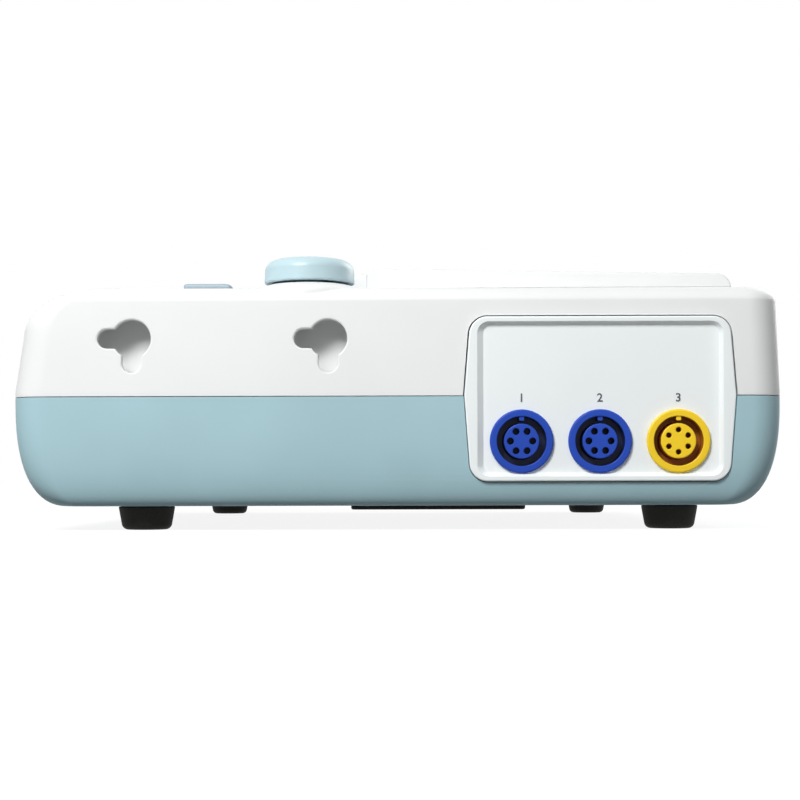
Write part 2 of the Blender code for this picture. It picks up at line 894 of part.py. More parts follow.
def key_opening(name, x, y, width, depth):
    return block(name, (x - width / 2 - running_gap, y - depth / 2 - running_gap, deck_under - overrun),
                 (x + width / 2 + running_gap, y + depth / 2 + running_gap, deck_z + overrun))


def casing_screw_places():
    front = [(side * casing_screw_front_x, casing_screw_front_y) for side in (-1, 1)]
    rear = [(side * casing_screw_rear_x, casing_screw_rear_y) for side in (-1, 1)]
    return front + rear


def standoff_places():
    xs = (main_board_left + post_inset, main_board_right - post_inset)
    ys = (main_board_front + post_inset, main_board_rear - post_inset)
    return [(x, y) for x in xs for y in ys]


def sleeve_outline():
    """The rear plate's sleeve in (y, z): flat inside, following the wall's middle outside."""
    low = plate_bottom - wall
    high = min(plate_top + wall, lower_edge - gap)
    steps = 6
    levels = [low + (high - low) * step / steps for step in range(steps + 1)]
    back = plate_face - plate_thickness * 1.5
    skin = [(half_depth - base_inset_front * base_share(z) - wall / 2, z) for z in levels]
    return [(back, low)] + skin + [(back, high)]


def make_lower_casing():
    top = seam_z - seam_lip
    levels = [lower_edge] + [top - (top - base_z) * share for share in base_shares]
    casing = shell("lower_casing", [lower_ring(z) for z in levels], grey_plastic)

    # Battery bay
    bay = block("bay_box", (-bay_half_width - bay_wall, bay_front - bay_wall, base_z + wall / 2),
                (bay_half_width + bay_wall, bay_rear + bay_wall, bay_top + bay_wall))
    join(casing, bay)
    cut(casing, block("bay_hollow", (-bay_half_width, bay_front, base_z - overrun),
                      (bay_half_width, bay_rear, bay_top)))
    for side in (-1, 1):
        label = "left" if side < 0 else "right"
        x = side * cover_screw_x
        y = (cover_front + cover_rear) / 2
        join(casing, rod("cover_boss_" + label, boss_radius, (x, y, base_z + wall / 2), boss_height, "Z"))
        cut(casing, rod("cover_pilot_" + label, screw_radius + gap, (x, y, base_z - overrun),
                        cover_screw_length + overrun, "Z", steps=12))

    # Casing screw bosses, open to the seam
    for number, (x, y) in enumerate(casing_screw_places()):
        join(casing, rod("lower_boss_%d" % (number + 1), boss_radius, (x, y, base_z + wall / 2),
                         lower_edge - base_z - wall / 2, "Z"))
        cut(casing, rod("lower_pilot_%d" % (number + 1), screw_radius + gap, (x, y, base_z - overrun),
                        seam_z - base_z + overrun * 2, "Z", steps=12))
        cut(casing, rod("screw_sink_%d" % (number + 1), screw_head_radius + gap,
                        (x, y, base_z - overrun), casing_screw_sink + overrun, "Z"))

    # Board posts, speaker ring and grille
    for number, (x, y) in enumerate(standoff_places()):
        join(casing, rod("standoff_%d" % (number + 1), standoff_radius, (x, y, base_z + wall / 2),
                         main_board_z - gap - base_z - wall / 2, "Z"))
    for number in range(grille_slots):
        y = speaker_y + (number - (grille_slots - 1) / 2) * grille_pitch
        cut(casing, block("grille_slot_%d" % (number + 1),
                          (speaker_x - grille_slot_length / 2, y - grille_slot_width / 2, base_z - overrun),
                          (speaker_x + grille_slot_length / 2, y + grille_slot_width / 2,
                           floor_z + overrun / 4)))

    # Openings for the port panel and the rear plate
    cut(casing, prism("panel_hole_lower", panel_outline(gap), panel_thickness * 2,
                      side_frame(half_width - panel_thickness / 4)))
    sleeve_width = plate_right - plate_left + wall * 2
    join(casing, prism("plate_sleeve", sleeve_outline(), sleeve_width,
                       side_frame((plate_left + plate_right) / 2)))
    cut(casing, block("plate_hole", (plate_left - gap, plate_face - overrun * 3, plate_bottom - gap),
                      (plate_right + gap, half_depth + overrun, plate_top + gap)))
    smooth_by_angle(casing)
    return casing


def make_port_panel():
    """A flat plate whose rim stands level with the seam and whose field is sunk."""
    panel = prism("port_panel", panel_outline(0), panel_thickness,
                  side_frame(half_width - panel_thickness / 2), white_plastic)
    edge = [(half_width + overrun, field_outline(panel_slope * overrun / panel_sink)),
            (half_width - panel_sink, field_outline(-panel_slope))]
    rings = [[(x, y, z) for y, z in outline] for x, outline in edge]
    cut(panel, loft("panel_field", rings))
    back = panel_outline(-panel_rim)
    cut(panel, prism("panel_back", back, panel_thickness,
                     side_frame(half_width - panel_sink - wall - panel_thickness / 2)))
    for number in range(socket_count):
        y = socket_first_y + number * socket_pitch
        cut(panel, rod("socket_hole_%d" % (number + 1), socket_shell_radius + gap,
                       (half_width - panel_thickness - overrun, y, socket_z),
                       panel_thickness + overrun * 2, "X", steps=round_steps))
    smooth_by_angle(panel)
    return panel


def make_socket(number, finish, insert_finish, pin_radius, first_pin):
    y = socket_first_y + number * socket_pitch
    label = "socket_%d" % (number + 1)
    field = half_width - panel_sink
    face = field + gap + socket_flange
    back = field - socket_length
    floor = face - socket_groove_depth
    hole = insert_radius + gap
    profile = [(socket_flange_radius - socket_flange / 3, face),
               (socket_flange_radius, face - socket_flange / 3), (socket_flange_radius, field + gap),
               (socket_shell_radius, field + gap), (socket_shell_radius, back), (hole, back),
               (hole, floor), (socket_bore, floor), (socket_bore, face)]
    ring = turned(label + "_shell", profile, (0, y, socket_z), "X", finish)
    rib = block(label + "_rib",
                (floor - socket_floor / 2, y - key_rib_width / 2, socket_z + socket_bore - key_rib_height),
                (face - insert_recess, y + key_rib_width / 2, socket_z + socket_bore + wall / 2))
    join(ring, rib)
    core = rod(label + "_insert", insert_radius, (back, y, socket_z),
               face - insert_recess - back, "X", insert_finish, round_steps)
    for pin in range(pin_count):
        angle = math.radians(first_pin + pin * 360 / pin_count)
        start = (face - insert_recess - pin_depth, y + pin_circle * math.cos(angle),
                 socket_z + pin_circle * math.sin(angle))
        cut(core, rod("%s_pin_%d" % (label, pin + 1), pin_radius, start, pin_depth + overrun, "X",
                      steps=8))


def make_feet():
    for along, y in (("front", foot_front_y), ("rear", foot_rear_y)):
        for across, side in (("left", -1), ("right", 1)):
            profile = [(0, base_z - gap), (foot_top_radius, base_z - gap),
                       (foot_bottom_radius + foot_round / 2, foot_round * 1.5),
                       (foot_bottom_radius, foot_round / 2), (foot_bottom_radius - foot_round, 0), (0, 0)]
            turned("foot_%s_%s" % (along, across), profile, (side * foot_x, y, 0), "Z", black_rubber, 24)


def screw_from_below(name, x, y, head_z, length):
    """A slotted screw whose head faces down."""
    head_top = head_z + screw_head_height
    profile = [(0, head_top + length), (screw_radius, head_top + length), (screw_radius, head_top),
               (screw_head_radius, head_top), (screw_head_radius, head_z), (0, head_z)]
    made = turned(name, profile, (x, y, 0), "Z", steel, small_steps)
    slot = screw_slot_depth
    cut(made, block(name + "_slot", (x - screw_head_radius * 2, y - slot / 2, head_z - overrun),
                    (x + screw_head_radius * 2, y + slot / 2, head_z + slot)))


def make_battery():
    top = base_z - gap
    cover = block("battery_cover", (-cover_half_width, cover_front, cover_bottom),
                  (cover_half_width, cover_rear, top), black_plastic)
    soften(cover, foot_round)
    middle = (cover_front + cover_rear) / 2
    for label, side in (("left", -1), ("right", 1)):
        x = side * cover_screw_x
        cut(cover, rod("cover_sink_" + label, screw_head_radius + gap, (x, middle, cover_bottom - overrun),
                       overrun + screw_head_height + gap * 2, "Z"))
        cut(cover, rod("cover_hole_" + label, screw_radius + gap, (x, middle, cover_bottom - overrun),
                       overrun * 3, "Z", steps=12))
        screw_from_below("cover_screw_" + label, x, middle, cover_bottom + gap, cover_screw_length)
    pack = block("battery_pack", (-bay_half_width + pack_margin, bay_front + pack_margin, base_z),
                 (bay_half_width - pack_margin, bay_rear - pack_margin, base_z + pack_height), black_plastic)
    soften(pack, foot_round)


def make_casing_screws():
    for number, (x, y) in enumerate(casing_screw_places()):
        screw_from_below("casing_screw_%d" % (number + 1), x, y,
                         base_z + casing_screw_sink - screw_head_height - gap, casing_screw_length)


def make_knob():
    at = (knob_x, knob_y, 0)
    board_top = key_board_z + board_thickness
    floor = board_top + gap + encoder_floor
    bore = shaft_radius + running_gap
    half = encoder_size / 2
    body = block("encoder_body", (knob_x - half, knob_y - half, board_top + gap),
                 (knob_x + half, knob_y + half, encoder_top), black_plastic)
    join(body, rod("encoder_bush", bush_radius, (knob_x, knob_y, floor + plunger_height),
                   bush_top - floor - plunger_height, "Z"))
    cut(body, rod("encoder_bore", bore, (knob_x, knob_y, floor), bush_top - floor + overrun, "Z"))

    rest = floor + press_travel + gap
    plunger = rod("encoder_plunger", bore - gap, (knob_x, knob_y, rest), plunger_height, "Z", brass)
    hang(plunger, "knob_press_axis", (knob_x, knob_y, rest))
    shaft_foot = rest + plunger_height + gap
    shaft_top = knob_top_z - knob_shoulder * shaft_drop_share
    shaft = rod("encoder_shaft", shaft_radius, (knob_x, knob_y, shaft_foot),
                shaft_top - shaft_foot, "Z", steel)
    hang(shaft, "knob_turn_axis", (knob_x, knob_y, rest))

    hub = shaft_radius + shaft_hub
    inner_roof = knob_base_z + knob_skirt * knob_roof_share
    crown = [(knob_radius - knob_shoulder * inward, knob_top_z - knob_shoulder * down)
             for inward, down in knob_crown_shares]
    profile = [(0, knob_top_z)] + crown + [
        (knob_radius, knob_base_z + gap * 3), (knob_radius - gap * 3, knob_base_z),
        (knob_radius - knob_skirt, knob_base_z), (knob_radius - knob_skirt, inner_roof),
        (hub, inner_roof), (hub, knob_base_z), (shaft_radius + gap, knob_base_z),
        (shaft_radius + gap, shaft_top + gap), (0, shaft_top + gap)]
    cap = turned("knob_cap", profile, at, "Z", knob_plastic)
    hang(cap, "knob_turn_axis", (knob_x, knob_y, rest))


def key_ring(x, y, width, depth, z, front=0, rear=0, side=0):
    left, right = x - width / 2 + side, x + width / 2 - side
    low, high = y - depth / 2 + front, y + depth / 2 - rear
    return [(left, low, z), (right, low, z), (right, high, z), (left, high, z)]


def make_key(name, x, y, width, depth):
    """A cap above the deck, a flange under it and a stem down to the board."""
    flange_top = deck_under - gap
    flange_low = flange_top - key_flange_thickness
    stem_low = key_board_z + board_thickness + key_travel + running_gap
    wide = width + key_flange * 2
    deep = depth + key_flange * 2
    rings = [key_ring(x, y, key_stem, key_stem, stem_low), key_ring(x, y, key_stem, key_stem, flange_low),
             key_ring(x, y, wide, deep, flange_low), key_ring(x, y, wide, deep, flange_top),
             key_ring(x, y, width, depth, flange_top), key_ring(x, y, width, depth, key_top_z - key_shoulder),
             key_ring(x, y, width, depth, key_top_z, key_shoulder / 2, key_rear_chamfer, key_shoulder)]
    base = [[(px - x, py - y, pz) for px, py, pz in ring] for ring in rings]
    return loft(name, base, key_plastic, (x, y, 0))


def make_keys():
    for number in range(key_count):
        make_key("key_%d" % (number + 1), key_first_x + number * key_pitch, key_y, key_width, key_depth)
    make_key("release_key", release_x, release_y, release_width, release_depth)
    block("key_board", (key_board_left, key_board_front, key_board_z),
          (key_board_right, key_board_rear, key_board_z + board_thickness), board_green)


def key_post_places():
    xs = (key_board_left + post_inset, key_board_right - post_inset)
    ys = (key_board_front + post_inset, key_board_rear - post_inset)
    return [(x, y) for x in xs for y in ys]


def drive_height():
    return platen_z - gear_radius - pinion_radius - gap


def gear_outline(centre, radius, teeth):
    points = []
    for tooth in range(teeth):
        for share, reach in gear_tooth_shares:
            angle = 2 * math.pi * (tooth + share) / teeth
            size = radius - gear_tooth_height * reach
            points.append((centre[0] + size * math.cos(angle), centre[1] + size * math.sin(angle)))
    return points


def make_recorder():
    left, right = tray_left, tray_right
    top = deck_under - gap * 2
    tray = block("recorder_tray", (left, tray_front_y, tray_floor_z), (right, tray_rear_y, top),
                 white_plastic)
    bracket_x = right + running_gap + gear_width + running_gap
    bracket_low = drive_height() - motor_radius - bracket_thickness
    bracket_front = platen_y - motor_radius
    bracket_rear = platen_y + motor_radius
    join(tray, block("motor_bracket", (bracket_x, bracket_front, bracket_low),
                     (bracket_x + bracket_thickness, bracket_rear, drive_height() + motor_radius)))
    join(tray, block("motor_shelf", (right - tray_wall / 2, bracket_front, bracket_low),
                     (bracket_x + bracket_thickness, bracket_rear, bracket_low + bracket_thickness)))
    cut(tray, block("tray_hollow", (left + tray_wall, tray_front_y + tray_wall, tray_floor_z + tray_floor),
                    (right - tray_wall, tray_rear_y - tray_wall, deck_z)))
    cut(tray, block("tray_notch", (left - overrun, door_axis_y - door_barrel - gap,
                                   door_axis_z - door_barrel - gap),
                    (right + overrun, tray_rear_y + overrun, deck_z)))
    cut(tray, rod("axle_hole", axle_radius + running_gap, (left - overrun, platen_y, platen_z),
                  right - left + overrun + tray_wall, "X"))
    cut(tray, rod("motor_shaft_hole", motor_shaft_radius + gap,
                  (bracket_x - overrun / 4, platen_y, drive_height()), overrun, "X", steps=12))

    # Platen roller and its drive
    inner_left = left + tray_wall + platen_end_gap
    inner_right = right - tray_wall - platen_end_gap
    gear_x = right + running_gap
    profile = [(0, gear_x + gear_width), (axle_radius, gear_x + gear_width), (axle_radius, inner_right),
               (platen_radius, inner_right), (platen_radius, inner_left), (axle_radius, inner_left),
               (axle_radius, left + gap), (0, left + gap)]
    roller = turned("platen_roller", profile, (0, platen_y, platen_z), "X", black_rubber, 24)
    gear = prism("platen_gear", gear_outline((platen_y, platen_z), gear_radius, gear_teeth), gear_width,
                 side_frame(gear_x + gear_width / 2), white_plastic)
    cut(gear, rod("gear_bore", axle_radius + gap, (gear_x - overrun, platen_y, platen_z),
                  gear_width + overrun * 2, "X"))
    for item in (roller, gear):
        hang(item, "platen_axis", (gear_x, platen_y, platen_z))
    pinion = prism("motor_pinion", gear_outline((platen_y, drive_height()), pinion_radius, pinion_teeth),
                   gear_width, side_frame(gear_x + gear_width / 2), brass)
    join(pinion, rod("pinion_shaft", motor_shaft_radius, (gear_x + gear_width / 2, platen_y, drive_height()),
                     gear_width / 2 + running_gap + bracket_thickness, "X", steps=12))
    hang(pinion, "motor_axis", (gear_x, platen_y, drive_height()))
    rod("recorder_motor", motor_radius, (bracket_x + bracket_thickness + gap, platen_y, drive_height()),
        motor_length, "X", steel, 24)

    # Print head behind the roller, paper pack below
    head_y = platen_y + platen_radius + gap
    block("print_head", (left + tray_wall + gap, head_y, platen_z - print_head_height / 2),
          (right - tray_wall - gap, head_y + print_head_depth, platen_z + print_head_height / 2), steel)
    middle = (left + right) / 2
    block("paper_pack", (middle - paper_width / 2, tray_front_y + tray_wall + paper_front_gap,
                         tray_floor_z + tray_floor + gap),
          (middle + paper_width / 2, tray_rear_y - tray_wall - paper_rear_gap,
           platen_z - platen_radius - paper_drop), paper_white)


def make_door():
    """A flat door that turns on a barrel along its rear edge."""
    top = door_axis_z + door_barrel
    low = door_left + running_gap
    high = door_right - running_gap
    axis_point = (low, door_axis_y, door_axis_z)
    door = block("recorder_door", (low, door_front_y, top - door_thickness), (high, door_axis_y, top),
                 white_plastic)
    join(door, rod("door_barrel", door_barrel, axis_point, high - low, "X"))
    join(door, rod("door_pins", door_pin, (low - door_pin_reach, door_axis_y, door_axis_z),
                   high - low + door_pin_reach * 2, "X", steps=12))
    cut(door, block("window_hole",
                    (window_left + window_lip, window_front + window_lip, deck_under - overrun),
                    (window_right - window_lip, window_rear - window_lip, deck_z)))
    cut(door, block("window_seat", (window_left - gap, window_front - gap, top - window_thickness - gap),
                    (window_right + gap, window_rear + gap, deck_z)))
    window = block("door_window", (window_left, window_front, top - window_thickness),
                   (window_right, window_rear, top), clear_glass)
    for item in (door, window):
        hang(item, "door_axis", axis_point)


def lid_slope(y):
    """Height of the lid's front slope, a curve from the nose up to the crest."""
    reach = (lid_crest_y - y) / (lid_crest_y - lid_nose_y)
    return lid_crest_z - (lid_crest_z - lid_nose_z - lid_nose_radius) * reach ** 2


def lid_rear_arc(low_z, steps, finish_angle=None):
    centre = (lid_rear_y - lid_rear_round, lid_rear_top_z - lid_rear_round)
    angle = math.degrees(math.asin((low_z - centre[1]) / lid_rear_round))
    if finish_angle is None:
        return arc(centre, lid_rear_round, 0, angle, steps)
    return arc(centre, lid_rear_round, angle, finish_angle, steps)


def top_frame():
    """A frame on the lid's sloping top, its origin at the middle of the screen."""
    fall = math.atan2(lid_crest_z - lid_rear_top_z, lid_rear_y - lid_rear_round - lid_crest_y)
    y = screen_front_y + screen_depth / 2
    z = lid_crest_z - (y - lid_crest_y) * math.tan(fall)
    return Matrix.Translation((0, y, z)) @ Matrix.Rotation(-fall, 4, "X")


def slab_on_lid(name, half_x, half_y, low, high, finish=None):
    made = block(name, (-half_x, -half_y, low), (half_x, half_y, high), finish)
    made.matrix_world = top_frame() @ Matrix.Translation((0, 0, (low + high) / 2))
    return made


def make_lid():
    nose = (lid_nose_y, lid_nose_z)
    axis_point = (0, lid_nose_y, lid_nose_z)
    back_outline = arc(nose, lid_nose_radius, 90, 270, 8)
    back_outline += [(lid_nose_y + lid_undercut, lid_bottom_z), (lid_rear_y - lid_undercut, lid_bottom_z)]
    back_outline += lid_rear_arc(lid_split_rear_z, 2)
    back_outline += [(lid_split_y, lid_split_front_z), (lid_split_y, lid_slope(lid_split_y))]
    back = prism("display_back", back_outline, lid_half_width * 2, side_frame(0), white_plastic)
    hollow_low = lid_bottom_z + lid_shell
    cut(back, block("lid_hollow", (-lid_half_width + lid_shell * 2, hinge_notch_y + lid_shell, hollow_low),
                    (lid_half_width - lid_shell * 2, lid_rear_y - lid_undercut - lid_shell / 2,
                     deck_z + overrun * 3)))

    front = lid_split_y + gap
    bezel_outline = [(front, lid_split_front_z + gap)] + lid_rear_arc(lid_split_rear_z + gap, 6, 90)
    bezel_outline += [(lid_crest_y, lid_crest_z)]
    slope_steps = 4
    for step in range(1, slope_steps + 1):
        y = lid_crest_y + (front - lid_crest_y) * step / slope_steps
        bezel_outline.append((y, lid_slope(y)))
    bezel = prism("display_bezel", bezel_outline, lid_half_width * 2, side_frame(0), white_plastic)
    cut(bezel, slab_on_lid("screen_opening", screen_width / 2, screen_depth / 2, -overrun * 3, overrun))
    half_x = screen_width / 2 + glass_margin
    half_y = screen_depth / 2 + glass_margin
    cut(bezel, slab_on_lid("glass_seat", half_x + gap, half_y + gap, -glass_thickness - gap, overrun))
    glass = slab_on_lid("display_glass", half_x, half_y, -glass_thickness, 0, clear_glass)
    lcd = block("display_panel",
                (-screen_width / 2 - lcd_margin, screen_front_y - lcd_margin, hollow_low + gap),
                (screen_width / 2 + lcd_margin, screen_front_y + screen_depth + lcd_margin,
                 hollow_low + gap + lcd_thickness), black_plastic)

    for label, side in (("left", -1), ("right", 1)):
        x = side * hinge_x
        half = hinge_width / 2
        cut(back, block("hinge_notch_" + label,
                        (x - half - running_gap, lid_nose_y - overrun, lid_bottom_z - overrun),
                        (x + half + running_gap, hinge_notch_y, lid_slope(lid_split_y) + overrun)))
        reach = half + running_gap + hinge_pin_reach
        cut(back, rod("hinge_hole_" + label, hinge_pin + gap, (x - reach, lid_nose_y, lid_nose_z),
                      reach * 2, "X", steps=12))
        foot_low = well_floor_z + gap
        bracket = block("hinge_bracket_" + label, (x - half, lid_nose_y - hinge_base_height, foot_low),
                        (x + half, hinge_base_rear, foot_low + hinge_base_height), steel)
        join(bracket, block("hinge_web_" + label, (x - half, lid_nose_y - hinge_base_height, foot_low + gap),
                            (x + half, lid_nose_y + hinge_base_height, lid_nose_z)))
        join(bracket, rod("hinge_knuckle_" + label, hinge_knuckle, (x - half, lid_nose_y, lid_nose_z),
                          hinge_width, "X"))
        pin = half + hinge_pin_reach
        join(bracket, rod("hinge_pin_" + label, hinge_pin, (x - pin, lid_nose_y, lid_nose_z), pin * 2, "X",
                          steps=12))
    for item in (back, bezel, glass, lcd):
        hang(item, "display_axis", axis_point)


def make_rear_plate():
    face = plate_face
    back = face - plate_thickness
    plate = block("rear_plate", (plate_left, back, plate_bottom), (plate_right, face, plate_top),
                  white_plastic)
    holes = ((inlet_x, inlet_width, inlet_height), (switch_x, switch_width, switch_height),
             (network_x, network_width, network_height), (serial_x, serial_shell_width, serial_shell_height))
    for number, (x, width, height) in enumerate(holes):
        cut(plate, block("plate_hole_%d" % (number + 1),
                         (x - width / 2 - gap, back - overrun, rear_row_z - height / 2 - gap),
                         (x + width / 2 + gap, face + overrun, rear_row_z + height / 2 + gap)))
    cut(plate, rod("post_hole", post_radius + gap, (post_x, back - overrun, rear_row_z),
                   plate_thickness + overrun * 2, "Y"))
    make_inlet(face)
    make_switch(face)
    nut = face + post_nut_height
    post = [(0, face + post_length), (post_radius, face + post_length), (post_radius, nut),
            (post_nut_radius, nut), (post_nut_radius, face + gap), (post_radius, face + gap),
            (post_radius, face - post_length), (0, face - post_length)]
    turned("earth_post", post, (post_x, 0, rear_row_z), "Y", brass, small_steps)
    port = boxed("network_port", network_x, network_width, network_height, face - network_depth,
                 face + network_wall, steel)
    cut(port, boxed("network_hollow", network_x, network_width - network_wall * 2,
                    network_height - network_wall * 2, face - network_depth + network_wall * 3,
                    face + overrun))
    serial = boxed("serial_port", serial_x, serial_width, serial_height, face + gap,
                   face + gap + network_wall, steel)
    join(serial, boxed("serial_shell", serial_x, serial_shell_width, serial_shell_height,
                       face - serial_depth, face + serial_stand))
    cut(serial, boxed("serial_hollow", serial_x, serial_shell_width - network_wall * 2,
                      serial_shell_height - network_wall * 2, face + gap, face + serial_stand + overrun))


def boxed(name, x, width, height, back, front, finish=None):
    """A block on the rear row, by its middle, width, height and depth range."""
    return block(name, (x - width / 2, back, rear_row_z - height / 2),
                 (x + width / 2, front, rear_row_z + height / 2), finish)


def make_inlet(face):
    inlet = boxed("power_inlet", inlet_x, inlet_width + inlet_flange * 2, inlet_height + inlet_flange * 2,
                  face + gap, face + gap + inlet_flange_thickness, black_plastic)
    join(inlet, boxed("inlet_body", inlet_x, inlet_width, inlet_height, face - inlet_depth,
                      face + inlet_flange_thickness / 2))
    floor = face - inlet_well
    cut(inlet, boxed("inlet_well", inlet_x, inlet_width - inlet_wall * 2, inlet_height - inlet_wall * 2,
                     floor, face + overrun))
    for number, (across, along) in enumerate(((-1, -1), (0, 1), (1, -1))):
        x = inlet_x + across * inlet_pin_gap
        z = rear_row_z + along * inlet_pin_drop / 2
        join(inlet, block("inlet_pin_%d" % (number + 1),
                          (x - inlet_pin_width / 2, floor - inlet_wall, z - inlet_pin_height / 2),
                          (x + inlet_pin_width / 2, face - inlet_wall, z + inlet_pin_height / 2)))


def make_switch(face):
    frame = boxed("switch_frame", switch_x, switch_width + switch_flange * 2,
                  switch_height + switch_flange * 2, face + gap, face + gap + switch_flange, black_plastic)
    join(frame, boxed("switch_body", switch_x, switch_width, switch_height, face - switch_depth,
                      face + switch_flange / 2))
    cheek = switch_flange
    inside = switch_width / 2 - cheek
    cut(frame, boxed("switch_hollow", switch_x, inside * 2, switch_height - cheek * 2,
                     face - switch_depth / 2, face + overrun))
    axis_y = face - switch_flange
    half = inside - running_gap
    pin_reach = half + running_gap + cheek / 2
    cut(frame, rod("rocker_hole", door_pin + gap, (switch_x - pin_reach - gap, axis_y, rear_row_z),
                   (pin_reach + gap) * 2, "X", steps=12))
    wing = switch_height / 2 - cheek - running_gap * 2.5
    rise = rocker_stand
    belly = rise * rocker_belly_share
    outline = [(-belly, -rise), (-rise / 2, -wing), (rise, -wing), (rise / 2, 0), (rise, wing),
               (-rise / 2, wing), (-belly, rise)]
    rocker = prism("switch_rocker", outline[::-1], half * 2, Matrix.Identity(4), black_plastic)
    rocker.matrix_world = Matrix.Translation((switch_x, axis_y, rear_row_z)) @ Matrix.Rotation(
        -rocker_tilt, 4, "X") @ side_frame(0)
    join(rocker, rod("rocker_pins", door_pin, (switch_x - pin_reach, axis_y, rear_row_z), pin_reach * 2, "X",
                     steps=12))
    hang(rocker, "rocker_axis", (switch_x, axis_y, rear_row_z))


def make_inside():
    board = block("main_board", (main_board_left, main_board_front, main_board_z),
                  (main_board_right, main_board_rear, main_board_z + board_thickness), board_green)
    block_front = main_board_front + board_block_front_gap
    for number in range(board_block_count):
        x = main_board_left + (main_board_right - main_board_left) * (number + 1) / (board_block_count + 1)
        join(board, block("board_block_%d" % (number + 1),
                          (x - board_block_half, block_front, main_board_z + board_thickness / 2),
                          (x + board_block_half, block_front + board_block_depth,
                           main_board_z + board_thickness + board_block_height)))
    low = floor_z + gap
    supply = block("power_supply", (supply_left, supply_front, low),
                   (supply_right, supply_rear, low + supply_height), steel)
    soften(supply, foot_round)
    rim, dome, shoulder = [low + speaker_height * share for share in speaker_step_shares]
    neck = speaker_cone * speaker_neck_share
    profile = [(0, low + speaker_height), (neck, low + speaker_height), (neck, shoulder),
               (speaker_radius, rim), (speaker_radius, low), (speaker_cone, low),
               (speaker_cone * speaker_dome_share, dome), (0, dome)]
    turned("speaker", profile, (speaker_x, speaker_y, 0), "Z", black_plastic, 24)


def make_sockets():
    finishes = (blue_plastic, blue_plastic, yellow_plastic)
    for number, finish in enumerate(finishes):
        pin_radius = yellow_pin_radius if finish is yellow_plastic else blue_pin_radius
        first_pin = 30 if finish is yellow_plastic else 0
        make_socket(number, finish, finish, pin_radius, first_pin)


make_upper_casing()
make_lower_casing()
make_port_panel()
make_sockets()
make_feet()
make_battery()
make_casing_screws()
make_knob()
make_keys()
make_recorder()
make_door()
make_lid()
make_rear_plate()
make_inside()
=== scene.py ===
import json
import math

import bmesh
import bpy
from mathutils import Matrix, Vector


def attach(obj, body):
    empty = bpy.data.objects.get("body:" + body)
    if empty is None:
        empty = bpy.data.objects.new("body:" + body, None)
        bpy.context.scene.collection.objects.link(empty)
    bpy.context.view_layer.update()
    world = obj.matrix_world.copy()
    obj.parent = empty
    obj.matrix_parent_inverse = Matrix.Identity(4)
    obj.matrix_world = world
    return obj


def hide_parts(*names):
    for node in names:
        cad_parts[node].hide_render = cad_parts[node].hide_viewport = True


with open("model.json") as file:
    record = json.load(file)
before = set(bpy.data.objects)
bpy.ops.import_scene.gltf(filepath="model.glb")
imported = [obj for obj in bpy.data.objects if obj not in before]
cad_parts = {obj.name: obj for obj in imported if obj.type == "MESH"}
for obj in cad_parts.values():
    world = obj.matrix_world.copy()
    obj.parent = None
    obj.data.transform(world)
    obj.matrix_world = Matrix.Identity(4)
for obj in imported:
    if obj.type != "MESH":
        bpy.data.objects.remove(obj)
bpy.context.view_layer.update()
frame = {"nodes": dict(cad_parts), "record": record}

print("stage: frame loaded")


def linked(name, data):
    item = bpy.data.objects.new(name, data)
    bpy.context.scene.collection.objects.link(item)
    return item


def startMaterial(name):
    made = bpy.data.materials.new(name)
    made.use_nodes = True
    nodes = made.node_tree.nodes
    return made, nodes, made.node_tree.links, nodes["Principled BSDF"]


def setInputs(node, values):
    for name, value in values.items():
        node.inputs[name].default_value = value


# Camera, level with the lower third of the casing and square to its right side
cameraSet = {
    "place": (0.795, 0.004, 0.020), "lens": 72.3, "sensor": 36.0,
    "shift": (-0.010, 0.0985), "roll": -0.15, "clipStart": 0.01,
}


def makeCamera(s):
    shot = bpy.data.cameras.new("sideCamera")
    shot.lens = s["lens"]
    shot.sensor_width = s["sensor"]
    shot.shift_x, shot.shift_y = s["shift"]
    shot.clip_start = s["clipStart"]
    body = linked("sideCamera", shot)
    body.location = s["place"]
    body.rotation_euler = (math.radians(90), math.radians(-s["roll"]), math.radians(90))
    bpy.context.scene.camera = body


# Floor, world and lamps
studioSet = {
    "floorSize": 14.0, "floorCells": 8, "floorColour": (0.15, 0.15, 0.15, 1), "floorRough": 0.9,
    "floorGloss": 0.1, "floorLift": (0.88, 0.99), "liftReach": (0.35, 1.6), "white": (1, 1, 1, 1),
    "worldLight": 0.17, "backdrop": 1.0, "aim": (0, 0, 0.05),
    "keyPower": 10.7, "keyPlace": (0.851, -0.36, 0.693), "keySize": 0.34,
    "fillPower": 1.2, "fillPlace": (1.2, 0.9, 0.8), "fillSize": 1.2,
    "rimPower": 15.0, "rimPlace": (-1.1, 1.15, 0.75), "rimSize": 1.0,
}


def seenOrMirrored(nodes, links):
    path = nodes.new("ShaderNodeLightPath")
    share = path.outputs["Is Camera Ray"]
    for ray in ("Is Glossy Ray", "Is Transmission Ray"):
        either = nodes.new("ShaderNodeMath")
        either.operation = "MAXIMUM"
        links.new(share, either.inputs[0])
        links.new(path.outputs[ray], either.inputs[1])
        share = either.outputs[0]
    return share


